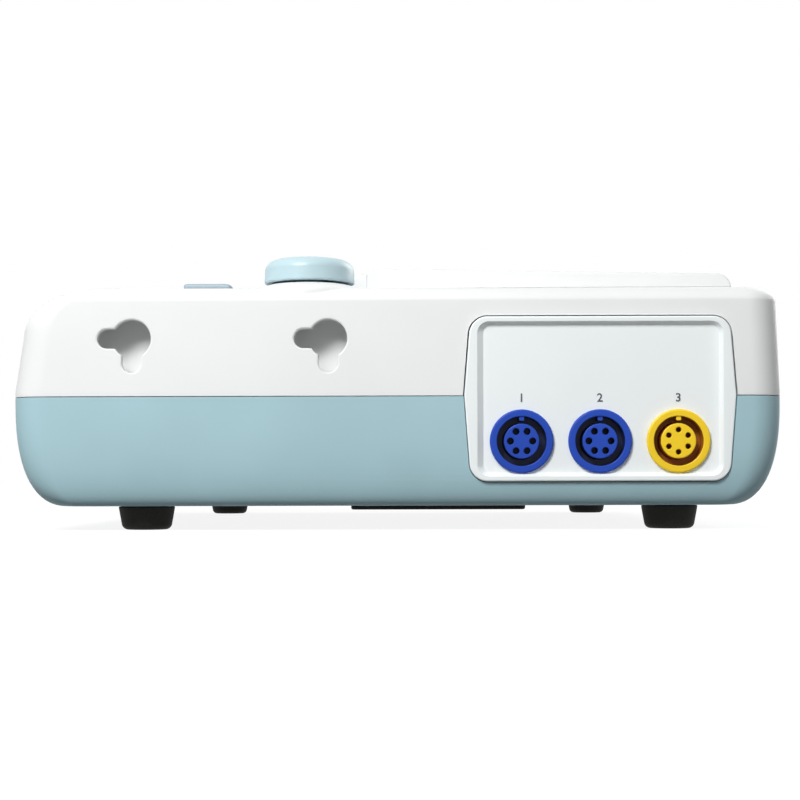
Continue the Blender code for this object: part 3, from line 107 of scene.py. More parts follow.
def makeStudio(s):
    world = bpy.data.worlds.new("studio")
    bpy.context.scene.world = world
    world.use_nodes = True
    nodes, links = world.node_tree.nodes, world.node_tree.links
    nodes.clear()
    out = nodes.new("ShaderNodeOutputWorld")
    mix = nodes.new("ShaderNodeMixShader")
    links.new(seenOrMirrored(nodes, links), mix.inputs[0])
    for place, strength in ((1, s["worldLight"]), (2, s["backdrop"])):
        sky = nodes.new("ShaderNodeBackground")
        setInputs(sky, {"Color": s["white"], "Strength": strength})
        links.new(sky.outputs[0], mix.inputs[place])
    links.new(mix.outputs[0], out.inputs["Surface"])

    sheet = bmesh.new()
    cells = s["floorCells"]
    bmesh.ops.create_grid(sheet, x_segments=cells, y_segments=cells, size=s["floorSize"] / 2)
    mesh = bpy.data.meshes.new("studioFloor")
    sheet.to_mesh(mesh)
    sheet.free()
    floor = linked("studioFloor", mesh)
    pale, nodes, links, shader = startMaterial("paleFloor")
    setInputs(shader, {"Base Color": s["floorColour"], "Roughness": s["floorRough"],
                       "Specular IOR Level": s["floorGloss"]})
    glow = nodes.new("ShaderNodeEmission")
    # the floor brightens away from the object, where the lamps fall off
    spot = nodes.new("ShaderNodeTexCoord")
    away = nodes.new("ShaderNodeVectorMath")
    away.operation = "LENGTH"
    links.new(spot.outputs["Object"], away.inputs[0])
    brighten = rangeMap(nodes, links, away.outputs["Value"], s["liftReach"], s["floorLift"])
    lift = nodes.new("ShaderNodeMath")
    lift.operation = "MULTIPLY"
    links.new(brighten, lift.inputs[1])
    links.new(seenOrMirrored(nodes, links), lift.inputs[0])
    links.new(lift.outputs[0], glow.inputs["Strength"])
    both = nodes.new("ShaderNodeAddShader")
    links.new(shader.outputs[0], both.inputs[0])
    links.new(glow.outputs[0], both.inputs[1])
    links.new(both.outputs[0], nodes["Material Output"].inputs["Surface"])
    mesh.materials.append(pale)

    for name in ("key", "fill", "rim"):
        lamp = bpy.data.lights.new(name + "Lamp", "AREA")
        lamp.shape = "SQUARE"
        lamp.size = s[name + "Size"]
        lamp.energy = s[name + "Power"]
        holder = linked(name + "Lamp", lamp)
        holder.location = s[name + "Place"]
        aim = Vector(s["aim"]) - holder.location
        holder.rotation_euler = aim.to_track_quat("-Z", "Y").to_euler()


# Finishes: a slow change of tone, a fine grain in the roughness, and a bump of the same grain
grainSet = {
    "noiseRough": 0.55, "grainDetail": 3.0, "cloudDetail": 2.0, "cloud": 22.0, "glassCloud": 40,
    "toneEnds": (0.35, 0.65), "noiseEnds": (0.3, 0.7), "roughSpread": 0.05, "glassSpread": 0.03,
    "glassVary": 0.06, "index": 1.46, "glassIndex": 1.5, "bumpDepth": 0.00006,
}
plainFinish = {"grain": 2400, "vary": 0.05, "metal": 0.0, "gloss": 0.5, "bump": 0.12}


def speckle(nodes, links, scale, detail):
    spot = nodes.new("ShaderNodeTexCoord")
    noise = nodes.new("ShaderNodeTexNoise")
    setInputs(noise, {"Scale": scale, "Detail": detail, "Roughness": grainSet["noiseRough"]})
    links.new(spot.outputs["Object"], noise.inputs["Vector"])
    return noise.outputs["Fac"]


def ramp(nodes, links, source, low, high):
    made = nodes.new("ShaderNodeValToRGB")
    for stop, place, colour in zip(made.color_ramp.elements, grainSet["toneEnds"], (low, high)):
        stop.position = place
        stop.color = colour
    links.new(source, made.inputs["Fac"])
    return made.outputs["Color"]


def rangeMap(nodes, links, source, ends, goals):
    made = nodes.new("ShaderNodeMapRange")
    setInputs(made, dict(zip(("From Min", "From Max", "To Min", "To Max"), (*ends, *goals))))
    links.new(source, made.inputs["Value"])
    return made.outputs["Result"]


def shade(colour, change):
    return tuple(max(0.0, min(1.0, part * (1 + change))) for part in colour) + (1,)


def mouldedPlastic(name, s):
    s = {**plainFinish, **s}
    made, nodes, links, shader = startMaterial(name)
    setInputs(shader, {"IOR": grainSet["index"], "Metallic": s["metal"], "Specular IOR Level": s["gloss"]})
    grain = speckle(nodes, links, s["grain"], grainSet["grainDetail"])
    cloud = speckle(nodes, links, grainSet["cloud"], grainSet["cloudDetail"])
    tone = ramp(nodes, links, cloud, shade(s["colour"], -s["vary"]), shade(s["colour"], s["vary"]))
    links.new(tone, shader.inputs["Base Color"])
    low, high = s["rough"] - grainSet["roughSpread"], s["rough"] + grainSet["roughSpread"]
    rough = rangeMap(nodes, links, grain, grainSet["noiseEnds"], (low, high))
    links.new(rough, shader.inputs["Roughness"])
    bump = nodes.new("ShaderNodeBump")
    setInputs(bump, {"Strength": s["bump"], "Distance": grainSet["bumpDepth"]})
    links.new(grain, bump.inputs["Height"])
    links.new(bump.outputs["Normal"], shader.inputs["Normal"])
    return made


finishSet = {
    "whiteCasing": {"colour": (0.84, 0.85, 0.85), "rough": 0.48, "grain": 2600, "vary": 0.012, "gloss": 0.35},
    "panelPlastic": {"colour": (0.91, 0.955, 0.96), "rough": 0.44, "grain": 2600, "vary": 0.01,
                     "gloss": 0.35},
    "printInk": {"colour": (0.075, 0.085, 0.10), "rough": 0.55, "grain": 3200, "vary": 0.06, "bump": 0.05},
    "greyCasing": {"colour": (0.385, 0.578, 0.635), "rough": 0.60, "grain": 2200, "vary": 0.03, "bump": 0.25},
    "knobPlastic": {"colour": (0.50, 0.665, 0.715), "rough": 0.38, "grain": 1800, "vary": 0.02},
    "keyPlastic": {"colour": (0.33, 0.415, 0.475), "rough": 0.42, "vary": 0.02},
    "socketBlue": {"colour": (0.021, 0.075, 0.48), "rough": 0.40, "gloss": 0.25},
    "socketYellow": {"colour": (0.97, 0.66, 0.018), "rough": 0.40, "vary": 0.03},
    # painted shade: darker copies of the socket colours, laid on the faces of the groove and the pin holes
    "insideBlue": {"colour": (0.006, 0.014, 0.07), "rough": 0.5, "vary": 0.08},
    "insideBrown": {"colour": (0.42, 0.14, 0.012), "rough": 0.5, "vary": 0.08},
    "rubber": {"colour": (0.012, 0.013, 0.010), "rough": 0.74, "grain": 1500, "vary": 0.10, "bump": 0.35,
               "gloss": 0.3},
    "blackPlastic": {"colour": (0.009, 0.009, 0.0085), "rough": 0.52, "grain": 2000, "vary": 0.08,
                     "bump": 0.3, "gloss": 0.2},
    "steel": {"colour": (0.56, 0.56, 0.57), "rough": 0.30, "grain": 900, "metal": 1.0},
    "brass": {"colour": (0.78, 0.60, 0.28), "rough": 0.28, "grain": 900, "metal": 1.0},
    "supplyCase": {"colour": (0.62, 0.63, 0.64), "rough": 0.38, "grain": 700, "metal": 1.0},
    "board": {"colour": (0.02, 0.16, 0.07), "rough": 0.45, "grain": 1200, "vary": 0.12},
    "chartPaper": {"colour": (0.88, 0.84, 0.80), "rough": 0.85, "grain": 1600, "vary": 0.02},
}
glassSet = {
    "screenGlass": {"colour": (0.010, 0.012, 0.014), "rough": 0.06, "alpha": 1.0},
    "windowGlass": {"colour": (0.10, 0.12, 0.13), "rough": 0.08, "alpha": 0.55},
}
finishes = {}
slotFinish = {
    "white_casing": "whiteCasing", "grey_casing": "greyCasing", "knob_plastic": "knobPlastic",
    "key_plastic": "keyPlastic", "blue_plastic": "socketBlue", "yellow_plastic": "socketYellow",
    "black_rubber": "rubber", "black_plastic": "blackPlastic", "steel": "steel", "brass": "brass",
    "supply_case": "supplyCase", "circuit_board": "board", "chart_paper": "chartPaper",
    "screen_glass": "screenGlass", "window_glass": "windowGlass",
}


def glassFinish(name, s):
    made, nodes, links, shader = startMaterial(name)
    setInputs(shader, {"Alpha": s["alpha"], "IOR": grainSet["glassIndex"]})
    cloud = speckle(nodes, links, grainSet["glassCloud"], grainSet["cloudDetail"])
    vary = grainSet["glassVary"]
    tone = ramp(nodes, links, cloud, shade(s["colour"], -vary), shade(s["colour"], vary))
    links.new(tone, shader.inputs["Base Color"])
    high = s["rough"] + grainSet["glassSpread"]
    rough = rangeMap(nodes, links, cloud, grainSet["noiseEnds"], (s["rough"], high))
    links.new(rough, shader.inputs["Roughness"])
    return made


def makeFinishes():
    for name, s in finishSet.items():
        finishes[name] = mouldedPlastic(name, s)
    for name, s in glassSet.items():
        finishes[name] = glassFinish(name, s)


def dressNodes():
    for part in frame["record"]["subparts"]:
        item = frame["nodes"][part["node"]]
        finish = finishes[slotFinish[part["material_slot"]]]
        if not item.material_slots:
            item.data.materials.append(finish)
        for slot in item.material_slots:
            slot.material = finish


# Shapes shared by the pieces
def arcPoints(centre, radius, start, end, steps):
    angles = [math.radians(start + (end - start) * step / steps) for step in range(steps + 1)]
    return [(centre[0] + radius * math.cos(a), centre[1] + radius * math.sin(a)) for a in angles]


def circlePoints(centre, radius, steps):
    return arcPoints(centre, radius, 0, 360 - 360 / steps, steps - 1)


def cornerArc(before, corner, after, size, steps):
    here = Vector(corner)
    back = (Vector(before) - here).normalized()
    ahead = (Vector(after) - here).normalized()
    half = back.angle(ahead) / 2
    centre = here + (back + ahead).normalized() * (size / math.sin(half))
    first = here + back * (size / math.tan(half)) - centre
    last = here + ahead * (size / math.tan(half)) - centre
    begin = math.degrees(math.atan2(first.y, first.x))
    sweep = (math.degrees(math.atan2(last.y, last.x)) - begin + 180) % 360 - 180
    return arcPoints(centre, size, begin, begin + sweep, steps)


def roundCorners(corners, radius, steps):
    # every corner of a closed outline is rounded, by one radius or by its own
    points = []
    for spot, corner in enumerate(corners):
        size = radius[spot] if isinstance(radius, (list, tuple)) else radius
        points += cornerArc(corners[spot - 1], corner, corners[(spot + 1) % len(corners)], size, steps)
    return points


def roundProfile(points, radii, steps):
    # every corner of an open profile is rounded by its own radius
    made = [points[0]]
    for spot in range(1, len(points) - 1):
        if radii[spot] > 0:
            made += cornerArc(points[spot - 1], points[spot], points[spot + 1], radii[spot], steps)
        else:
            made.append(points[spot])
    return made + [points[-1]]


def roundBox(left, right, low, high, radius, steps):
    return roundCorners([(left, low), (right, low), (right, high), (left, high)], radius, steps)


def atHeight(outline, z):
    return [(x, y, z) for x, y in outline]


def quarterTurns(steps):
    return [math.radians(90 * step / steps) for step in range(steps + 1)]


def growOutline(points, amount):
    grown = []
    for spot, point in enumerate(points):
        here = Vector(point)
        back = (here - Vector(points[spot - 1])).normalized()
        ahead = (Vector(points[(spot + 1) % len(points)]) - here).normalized()
        out = Vector((back.y + ahead.y, -back.x - ahead.x))
        grown.append(tuple(here + out * (amount / (1 + back.dot(ahead)))))
    return grown


def skin(rings, closeStart=True):
    form = bmesh.new()
    rows = [[form.verts.new(point) for point in ring] for ring in rings]
    count = len(rows[0])
    for low, high in zip(rows, rows[1:]):
        for spot in range(count):
            after = (spot + 1) % count
            form.faces.new((low[spot], low[after], high[after], high[spot]))
    if closeStart:
        form.faces.new(list(reversed(rows[0])))
    form.faces.new(rows[-1])
    bmesh.ops.recalc_face_normals(form, faces=form.faces)
    return form


def lathe(profile, steps):
    # a point on the axis closes the form there
    form = bmesh.new()
    turns = [2 * math.pi * step / steps for step in range(steps)]
    rows = []
    for radius, height in profile:
        around = turns if radius else turns[:1]
        rows.append([form.verts.new((radius * math.cos(a), radius * math.sin(a), height)) for a in around])
    pairs = list(zip(rows, rows[1:]))
    if len(rows[0]) > 1:
        pairs.append((rows[-1], rows[0]))
    for low, high in pairs:
        for spot in range(steps):
            after = (spot + 1) % steps
            loop = ((low, spot), (low, after), (high, after), (high, spot))
            loop = [row[place % len(row)] for row, place in loop]
            face = [corner for place, corner in enumerate(loop) if corner not in loop[:place]]
            if len(face) > 2:
                form.faces.new(face)
    bmesh.ops.recalc_face_normals(form, faces=form.faces)
    return form


# an outline in y and z, thick along X
alongX = Matrix(((0, 0, 1, 0), (1, 0, 0, 0), (0, 1, 0, 0), (0, 0, 0, 1)))


def moved(form, matrix):
    bmesh.ops.transform(form, matrix=matrix, verts=form.verts)
    return form


def turned(profile, sides, x, y):
    return moved(lathe(profile, sides), Matrix.Translation((x, y, 0)))


def slabForm(outline, low, high, place=Matrix.Identity(4)):
    return moved(skin([atHeight(outline, low), atHeight(outline, high)]), place)


def boxForm(low, high):
    (left, front, foot), (right, rear, top) = low, high
    return slabForm([(left, front), (right, front), (right, rear), (left, rear)], foot, top)


def roundedAcross(outline, half, ease, steps, border=1.15):
    # an outline thick along X, with a quarter round at both ends and a narrow flat border on the end faces
    stages = [(-half, -ease * border)]
    stages += [(-half + ease * (1 - math.cos(turn)), -ease * (1 - math.sin(turn)))
               for turn in quarterTurns(steps)]
    stages += [(-x, grow) for x, grow in reversed(stages)]
    return skin([[(x, y, z) for y, z in growOutline(outline, grow)] for x, grow in stages])


def paneForm(left, right, front, rear, top, thick, corner, steps, ease=0.0003):
    # a flat pane with its upper edge eased
    rings = []
    for drop, inset in ((thick, 0), (ease, 0), (ease / 3, ease / 3), (0, ease)):
        edge = roundBox(left + inset, right - inset, front + inset, rear - inset, corner - inset, steps)
        rings.append(atHeight(edge, top - drop))
    return skin(rings)


def toObject(name, form):
    mesh = bpy.data.meshes.new(name)
    form.to_mesh(mesh)
    form.free()
    return linked(name, mesh)


def settle(item):
    # the modifiers become the mesh
    graph = bpy.context.evaluated_depsgraph_get()
    graph.update()
    solved = bpy.data.meshes.new_from_object(item.evaluated_get(graph))
    old = item.data
    item.modifiers.clear()
    item.data = solved
    bpy.data.meshes.remove(old)


def carve(item, forms, operation="DIFFERENCE"):
    for form in forms:
        tool = toObject("tool", form)
        cutting = item.modifiers.new("cut", "BOOLEAN")
        cutting.operation = operation
        cutting.object = tool
        settle(item)
        toolMesh = tool.data
        bpy.data.objects.remove(tool)
        bpy.data.meshes.remove(toolMesh)


def finishPiece(item, body, slotName, node=None, sharp=32, finish=None):
    # the slot names the finish, but where another one is given
    item.data.materials.clear()
    item.data.materials.append(finishes[finish or slotFinish[slotName]])
    item.data.shade_smooth()
    item.data.set_sharp_from_angle(angle=math.radians(sharp))
    even = item.modifiers.new("even", "WEIGHTED_NORMAL")
    even.keep_sharp = True
    settle(item)
    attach(item, body)
    if node:
        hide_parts(node)


# Casing shells, lofted from level rings
casingSet = {
    "halfWidth": 0.175, "halfDepth": 0.1502, "seam": 0.052, "seamGap": 0.00015, "lip": 0.002,
    "deck": 0.095, "base": 0.0095, "wall": 0.0025, "corner": 0.013, "leastCorner": 0.004,
    "draft": 3.0, "fillet": 0.006, "sideRun": 0.0104, "shoulderZ": 0.076, "shoulderIn": 0.0032,
    "crownRun": 0.030, "baseEnd": 0.020, "baseSide": 0.009, "endPower": 2.4, "sidePower": 3.2,
    "cornerSteps": 12, "crownSteps": 16, "filletSteps": 11, "baseSteps": 18,
}


def crownInset(s, z):
    foot = s["seam"] + s["lip"]
    if z <= s["shoulderZ"]:
        return s["shoulderIn"] * max(0, z - foot) / (s["shoulderZ"] - foot)
    climb = min(1, (z - s["shoulderZ"]) / (s["deck"] - s["shoulderZ"]))
    return s["shoulderIn"] + s["crownRun"] * (1 - math.sqrt(1 - climb ** 2))


def filletInset(s, z):
    climb = max(0, z - (s["deck"] - s["fillet"]))
    return s["fillet"] - math.sqrt(max(0, s["fillet"] ** 2 - climb ** 2))


def upperRing(s, z):
    # the sides lean in by the draft, and the rear by two thirds of it
    lean = max(0, z - s["seam"] - s["lip"]) * math.tan(math.radians(s["draft"]))
    side = lean + filletInset(s, z) * s["sideRun"] / s["fillet"]
    rear = lean * 2 / 3 + filletInset(s, z)
    radius = max(s["leastCorner"], s["corner"] - filletInset(s, z))
    edge = roundBox(-s["halfWidth"] + side, s["halfWidth"] - side, -s["halfDepth"] + crownInset(s, z),
                    s["halfDepth"] - rear, radius, s["cornerSteps"])
    return atHeight(edge, z)


def baseShare(s, z, power):
    top = s["seam"] - s["lip"]
    drop = min(1, max(0, top - z) / (top - s["base"]))
    return 1 - (1 - drop ** power) ** (1 / power)


def lowerRing(s, z):
    side = s["baseSide"] * baseShare(s, z, s["sidePower"])
    end = s["baseEnd"] * baseShare(s, z, s["endPower"])
    across, along = s["halfWidth"] - side, s["halfDepth"] - end
    radius = max(s["leastCorner"], s["corner"] - side / 2)
    return atHeight(roundBox(-across, across, -along, along, radius, s["cornerSteps"]), z)


def shellObject(name, rings, s):
    item = toObject(name, skin(rings, closeStart=False))
    wall = item.modifiers.new("wall", "SOLIDIFY")
    wall.thickness = s["wall"]
    wall.offset = -1
    wall.use_even_offset = True
    settle(item)
    return item


# Port panel: a plate with a raised rim, widest at the seam, and a sunk straight-sided field
panelSet = {
    "top": 0.0827, "bottom": 0.01885, "front": 0.0283, "rear": 0.1285, "bulge": 0.0025, "seam": 0.052,
    "corner": 0.0065, "thick": 0.008, "face": 0.175, "ease": 0.0007, "steps": 10, "back": 0.0045,
    "hole": 0.0115, "holeSides": 64, "gap": 0.0003, "holeGap": 0.00055, "toolIn": 0.010, "toolOut": 0.006,
    "rim": 0.0021, "sideRim": 0.0027, "rimSteps": 5, "sharp": 24,
    "fieldCorner": 0.0045, "sink": 0.0020, "slope": 0.0009, "frontSlope": 0.0010, "fieldOut": 0.004,
    "fieldFoot": ((0, -1), (0.12, -0.45), (0.5, 0)), "fieldLip": ((-0.45, -0.15), (-0.12, 0.15), (0, 0.6)),
}
socketPlaces = {"ys": (0.0480, 0.07835, 0.1087), "z": 0.0344}


def panelOutline(s, growth):
    halfWay = (s["front"] + s["rear"]) / 2
    box = roundBox(s["front"], s["rear"], s["bottom"], s["top"], s["corner"], s["steps"])
    swollen = []
    for y, z in box:
        reach = s["top"] - s["seam"] if z > s["seam"] else s["seam"] - s["bottom"]
        swell = s["bulge"] * (1 - abs(z - s["seam"]) / reach)
        swollen.append((y + (swell if y > halfWay else -swell), z))
    half = len(swollen) // 2
    rear = [(s["rear"] + s["bulge"], s["seam"])]
    front = [(s["front"] - s["bulge"], s["seam"])]
    return growOutline(swollen[:half] + rear + swollen[half:] + front, growth)


def panelTool(s, growth):
    # cuts the panel's seat out of a casing
    return slabForm(panelOutline(s, growth), s["face"] - s["toolIn"], s["face"] + s["toolOut"], alongX)


def fieldForm(s):
    # the cutter of the sunk field, with a soft foot and a soft edge at the rim
    left, right = s["front"] + s["sideRim"], s["rear"] - s["sideRim"]
    low, high = s["bottom"] + s["rim"], s["top"] - s["rim"]
    edge = roundBox(left, right, low, high, s["fieldCorner"], s["steps"])
    span = right - left
    sink, slope, ease = s["sink"], s["slope"], s["ease"]
    stages = [(-sink + ease * out, -slope + ease * grow) for out, grow in s["fieldFoot"]]
    stages += [(ease * out, ease * grow) for out, grow in s["fieldLip"]]
    stages.append((s["fieldOut"], stages[-1][1]))
    lipDepth = -stages[len(s["fieldFoot"])][0]
    rings = []
    for out, grow in stages:
        extra, x = s["frontSlope"] * min(1, max(0, -out - lipDepth) / (sink - lipDepth * 2)), s["face"] + out
        rings.append([(x, y + extra * (right - y) / span, z) for y, z in growOutline(edge, grow)])
    return skin(rings)


def makePortPanel(s, sockets):
    face, ease = s["face"], s["ease"]
    stages = [(face - s["thick"], 0)]
    stages += [(face - ease * (1 - math.sin(turn)), -ease * (1 - math.cos(turn)))
               for turn in quarterTurns(s["rimSteps"])]
    rings = [[(x, y, z) for y, z in panelOutline(s, grow)] for x, grow in stages]
    panel = toObject("portPanel", skin(rings))
    deep = face - s["thick"] * 2
    tools = [fieldForm(s), slabForm(panelOutline(s, -s["rim"]), deep, face - s["back"], alongX)]
    for y in sockets["ys"]:
        hole = circlePoints((y, sockets["z"]), s["hole"], s["holeSides"])
        tools.append(slabForm(hole, deep, face + s["thick"], alongX))
    carve(panel, tools)
    finishPiece(panel, "casing", "white_casing", "port_panel", s["sharp"], "panelPlastic")


# Sockets: a flanged shell with a key rib, and an insert with six pin holes
socketSet = {
    "field": 0.173, "gap": 0.0003, "flange": 0.0012, "flangeRadius": 0.01235, "shell": 0.0112, "bore": 0.0096,
    "back": 0.155, "groove": 0.008, "hole": 0.00715, "ease": 0.00045, "flangeEase": (1.6, 0.8),
    "flangeSteps": 6, "ribHalf": 0.00095, "ribReach": 0.00165, "ribRound": (0.0004, 0.0004, 0.0002, 0.0002),
    "ribSteps": 3, "insert": 0.00685, "insertSteps": 5, "recess": 0.0006, "overlap": 0.001, "sides": 96,
    "pins": 6, "pinCircle": 0.0043, "pinDepth": 0.006, "pinSides": 28, "mouth": 0.00022,
    "insideFrom": 0.0009, "insideOver": 0.0001, "shellSharp": 40, "insertSharp": 30,
}
# each socket kind names the painted shade finish for its groove and pin holes
blueKind = {"inside": "insideBlue", "slot": "blue_plastic", "pin": 0.0013, "first": 0}
yellowKind = {"inside": "insideBrown", "slot": "yellow_plastic", "pin": 0.00106, "first": 30}


def darkenInside(item, finish, startX, y, z, radius):
    # faces down in the groove and the pin holes take a darker finish: painted shade standing in for the
    # shadow in these recesses
    item.data.materials.append(finishes[finish])
    for face in item.data.polygons:
        across = math.hypot(face.center.y - y, face.center.z - z)
        if face.center.x < startX and across < radius:
            face.material_index = 1


def makeSocketShell(s, number, kind, y, z):
    foot = s["field"] + s["gap"]
    face = foot + s["flange"]
    floor = face - s["groove"]
    outer, bore = s["flangeRadius"], s["bore"]
    outerEase, innerEase = [s["ease"] * share for share in s["flangeEase"]]
    corners = [(outer, foot), (outer, face), (bore, face), (bore, floor)]
    profile = roundProfile(corners, (0, outerEase, innerEase, 0), s["flangeSteps"])
    profile += [(s["hole"], floor), (s["hole"], s["back"]), (s["shell"], s["back"]), (s["shell"], foot)]
    form = moved(lathe(profile, s["sides"]), Matrix.Translation((0, y, z)) @ alongX)
    shell = toObject("socketShell%d" % number, form)
    low, high = z + (bore - s["ribReach"]), z + bore + s["overlap"]
    rib = roundBox(y - s["ribHalf"], y + s["ribHalf"], low, high, s["ribRound"], s["ribSteps"])
    carve(shell, [slabForm(rib, floor - s["overlap"], face - s["recess"], alongX)], "UNION")
    finishPiece(shell, "casing", kind["slot"], "socket_%d_shell" % number, s["shellSharp"])
    darkenInside(shell, kind["inside"], face - s["insideFrom"], y, z, bore + s["insideOver"])


def makeSocketInsert(s, number, kind, y, z):
    face = s["field"] + s["gap"] + s["flange"] - s["recess"]
    corners = [(0, face), (s["insert"], face), (s["insert"], s["back"]), (0, s["back"])]
    outline = roundProfile(corners, (0, s["ease"], 0, 0), s["insertSteps"])
    form = moved(lathe(outline, s["sides"]), Matrix.Translation((0, y, z)) @ alongX)
    insert = toObject("socketInsert%d" % number, form)
    size, mouth, over = kind["pin"], s["mouth"], s["overlap"]
    profile = [(0, -s["pinDepth"]), (size, -s["pinDepth"]), (size, -mouth), (size + mouth, 0),
               (size + mouth, over), (0, over)]
    tools = []
    for pin in range(s["pins"]):
        turn = math.radians(kind["first"] + pin * 360 / s["pins"])
        at = (y + s["pinCircle"] * math.cos(turn), z + s["pinCircle"] * math.sin(turn), face)
        tools.append(moved(lathe(profile, s["pinSides"]), alongX @ Matrix.Translation(at)))
    carve(insert, tools)
    finishPiece(insert, "casing", kind["slot"], "socket_%d_insert" % number, s["insertSharp"])
    darkenInside(insert, kind["inside"], face - s["insideFrom"], y, z, s["insert"] + s["insideOver"])


# Plain numbers over the sockets
numberSet = {"size": 0.0046, "rise": 0.0167, "thick": 0.00005, "bold": 0.00006, "lift": 0.00002, "steps": 8}


def makeNumbers(s, field, sockets):
    for figure, y in enumerate(sockets["ys"], 1):
        curve = bpy.data.curves.new("socketNumber", "FONT")
        curve.body = str(figure)
        curve.size = s["size"]
        curve.extrude = s["thick"]
        curve.offset = s["bold"]
        curve.align_x = curve.align_y = "CENTER"
        curve.resolution_u = s["steps"]
        text = linked("socketNumber%d" % figure, curve)
        solved = bpy.data.meshes.new_from_object(text)
        bpy.data.objects.remove(text)
        bpy.data.curves.remove(curve)
        place = Matrix.Translation((field + s["thick"] + s["lift"], y, sockets["z"] + s["rise"]))
        solved.transform(place @ alongX)
        finishPiece(linked("socketNumber%d" % figure, solved), "casing", "black_plastic", finish="printInk")


# Knob: a slightly dished top with a broad round to a nearly straight side, hollow under
knobSet = {
    "x": 0.148, "y": -0.0354, "radius": 0.0181, "base": 0.0983, "top": 0.1081, "crownIn": 0.0060,
    "crownDrop": 0.0048, "dish": 0.00016, "skirt": 0.0028, "roof": 0.10278, "hub": 0.0056, "bore": 0.0033,
    "shaftTop": 0.1045, "foot": 0.0007, "footRise": 1.6, "footStart": -10, "footSteps": 5, "lean": 0.0002,
    "sides": 128, "flatShares": (0, 0.3, 0.55, 0.78, 0.92), "crownSteps": 14, "sharp": 35,
}


def makeKnob(s):
    flat = s["radius"] - s["crownIn"] - s["lean"]
    profile = [(flat * share, s["top"] - s["dish"] * share ** 2) for share in s["flatShares"]]
    for turn in quarterTurns(s["crownSteps"]):
        profile.append((flat + s["crownIn"] * math.sin(turn),
                        s["top"] - s["dish"] - (s["crownDrop"] - s["dish"]) * (1 - math.cos(turn))))
    foot = s["foot"]
    profile.append((s["radius"], s["base"] + foot * s["footRise"]))
    profile += arcPoints((s["radius"] - foot, s["base"] + foot), foot, s["footStart"], -90,
                         s["footSteps"])
    inner = s["radius"] - s["skirt"]
    profile += [(inner, s["base"]), (inner, s["roof"]), (s["hub"], s["roof"]), (s["hub"], s["base"]),
                (s["bore"], s["base"]), (s["bore"], s["shaftTop"]), (0, s["shaftTop"])]
    knob = toObject("menuKnob", turned(profile, s["sides"], s["x"], s["y"]))
    finishPiece(knob, "knob", "knob_plastic", "knob_cap", s["sharp"])


# Keys: a dished cap with a slope to the rear, over a hidden flange and stem
keySet = {
    "xs": (0.044, 0.066, 0.088, 0.110, 0.132, 0.154), "y": -0.0748, "width": 0.018, "depth": 0.0188,
    "top": 0.097, "shoulder": 0.0012, "rearIn": 0.0021, "corner": 0.0014, "flange": 0.0012,
    "flangeTop": 0.0922, "flangeLow": 0.0902, "stem": 0.004, "stemLow": 0.0834, "stemRound": 0.0005,
    "steps": 5, "shoulderSteps": 6, "frontShare": 0.5, "dishReach": 0.8,
    "dish": ((0.30, 0.00006), (0.62, 0.00014), (0.90, 0.00018)), "sharp": 40,
}
releaseSet = {"x": 0.0285, "y": -0.0498, "width": 0.012, "depth": 0.018}


def makeKey(name, node, body, s, x, y, width, depth):
    side, drop, rearIn = s["corner"], s["shoulder"], s["rearIn"]
    stem, wide, deep = s["stem"], width + s["flange"] * 2, depth + s["flange"] * 2
    # each ring: width, depth, height, corner, and how far its sides, front and rear are drawn in
    rows = [(stem, stem, s["stemLow"], s["stemRound"]), (stem, stem, s["flangeLow"], s["stemRound"]),
            (wide, deep, s["flangeLow"], side), (wide, deep, s["flangeTop"], side),
            (width, depth, s["flangeTop"], side)]
    rows = [row + (0, 0, 0) for row in rows]
    for turn in quarterTurns(s["shoulderSteps"]):
        inward, down = 1 - math.cos(turn), 1 - math.sin(turn)
        rows.append((width, depth, s["top"] - drop * down, side,
                     drop * inward, drop * s["frontShare"] * inward, rearIn * inward))
    for share, sunk in s["dish"]:
        inward = [start + (size / 2 - start) * share * s["dishReach"]
                  for start, size in ((drop, width), (drop, depth), (rearIn, depth))]
        rows.append((width, depth, s["top"] - sunk, side * (1 - share * s["dishReach"]), *inward))
    rings = []
    for across, along, z, corner, sideIn, frontIn, backIn in rows:
        edge = roundBox(x - across / 2 + sideIn, x + across / 2 - sideIn, y - along / 2 + frontIn,
                        y + along / 2 - backIn, corner, s["steps"])
        rings.append(atHeight(edge, z))
    key = toObject(name, skin(rings))
    finishPiece(key, body, "key_plastic", node, s["sharp"])


# Display lid: one rounded form in side view, nose to the front, parted by a thin seam
lidSet = {
    "half": 0.125, "noseY": -0.017, "noseZ": 0.1013, "nose": 0.003, "low": 0.0902, "undercut": 0.005,
    "splitY": -0.013, "splitFront": 0.0994, "splitRear": 0.0999, "crestY": -0.003, "crestZ": 0.1075,
    "rearY": 0.139, "rearTop": 0.1054, "rearRound": 0.0058, "shell": 0.002, "ease": 0.0008, "seam": 0.0001,
    "screenHalf": 0.11135, "screenFront": 0.0035, "screenDepth": 0.125, "glassMargin": 0.0025,
    "glass": 0.0018, "gap": 0.0003, "hingeX": 0.105, "hingeHalf": 0.0074, "notchY": -0.007, "pin": 0.0015,
    "pinReach": 0.008, "pinSides": 24, "noseIn": 0.0005, "noseDrop": 0.004, "lowRound": 0.0022, "lowSteps": 5,
    "crestEase": (0.004, 0.00006), "crestSteps": 12, "arcSteps": 14, "endSteps": 5, "over": 0.01,
    "hollowTop": 0.107, "notchOver": 0.004, "notchTop": 0.110, "openRound": 0.001, "seatRound": 0.002,
    "glassRound": 0.0017, "openSteps": 4, "seatSteps": 5, "noseEnd": 240, "deep": 0.012, "high": 0.004,
    "sharp": 30,
}


def lidFrame(s):
    fall = math.atan2(s["crestZ"] - s["rearTop"], s["rearY"] - s["rearRound"] - s["crestY"])
    y = s["screenFront"] + s["screenDepth"] / 2
    z = s["crestZ"] - (y - s["crestY"]) * math.tan(fall)
    return Matrix.Translation((0, y, z)) @ Matrix.Rotation(-fall, 4, "X")


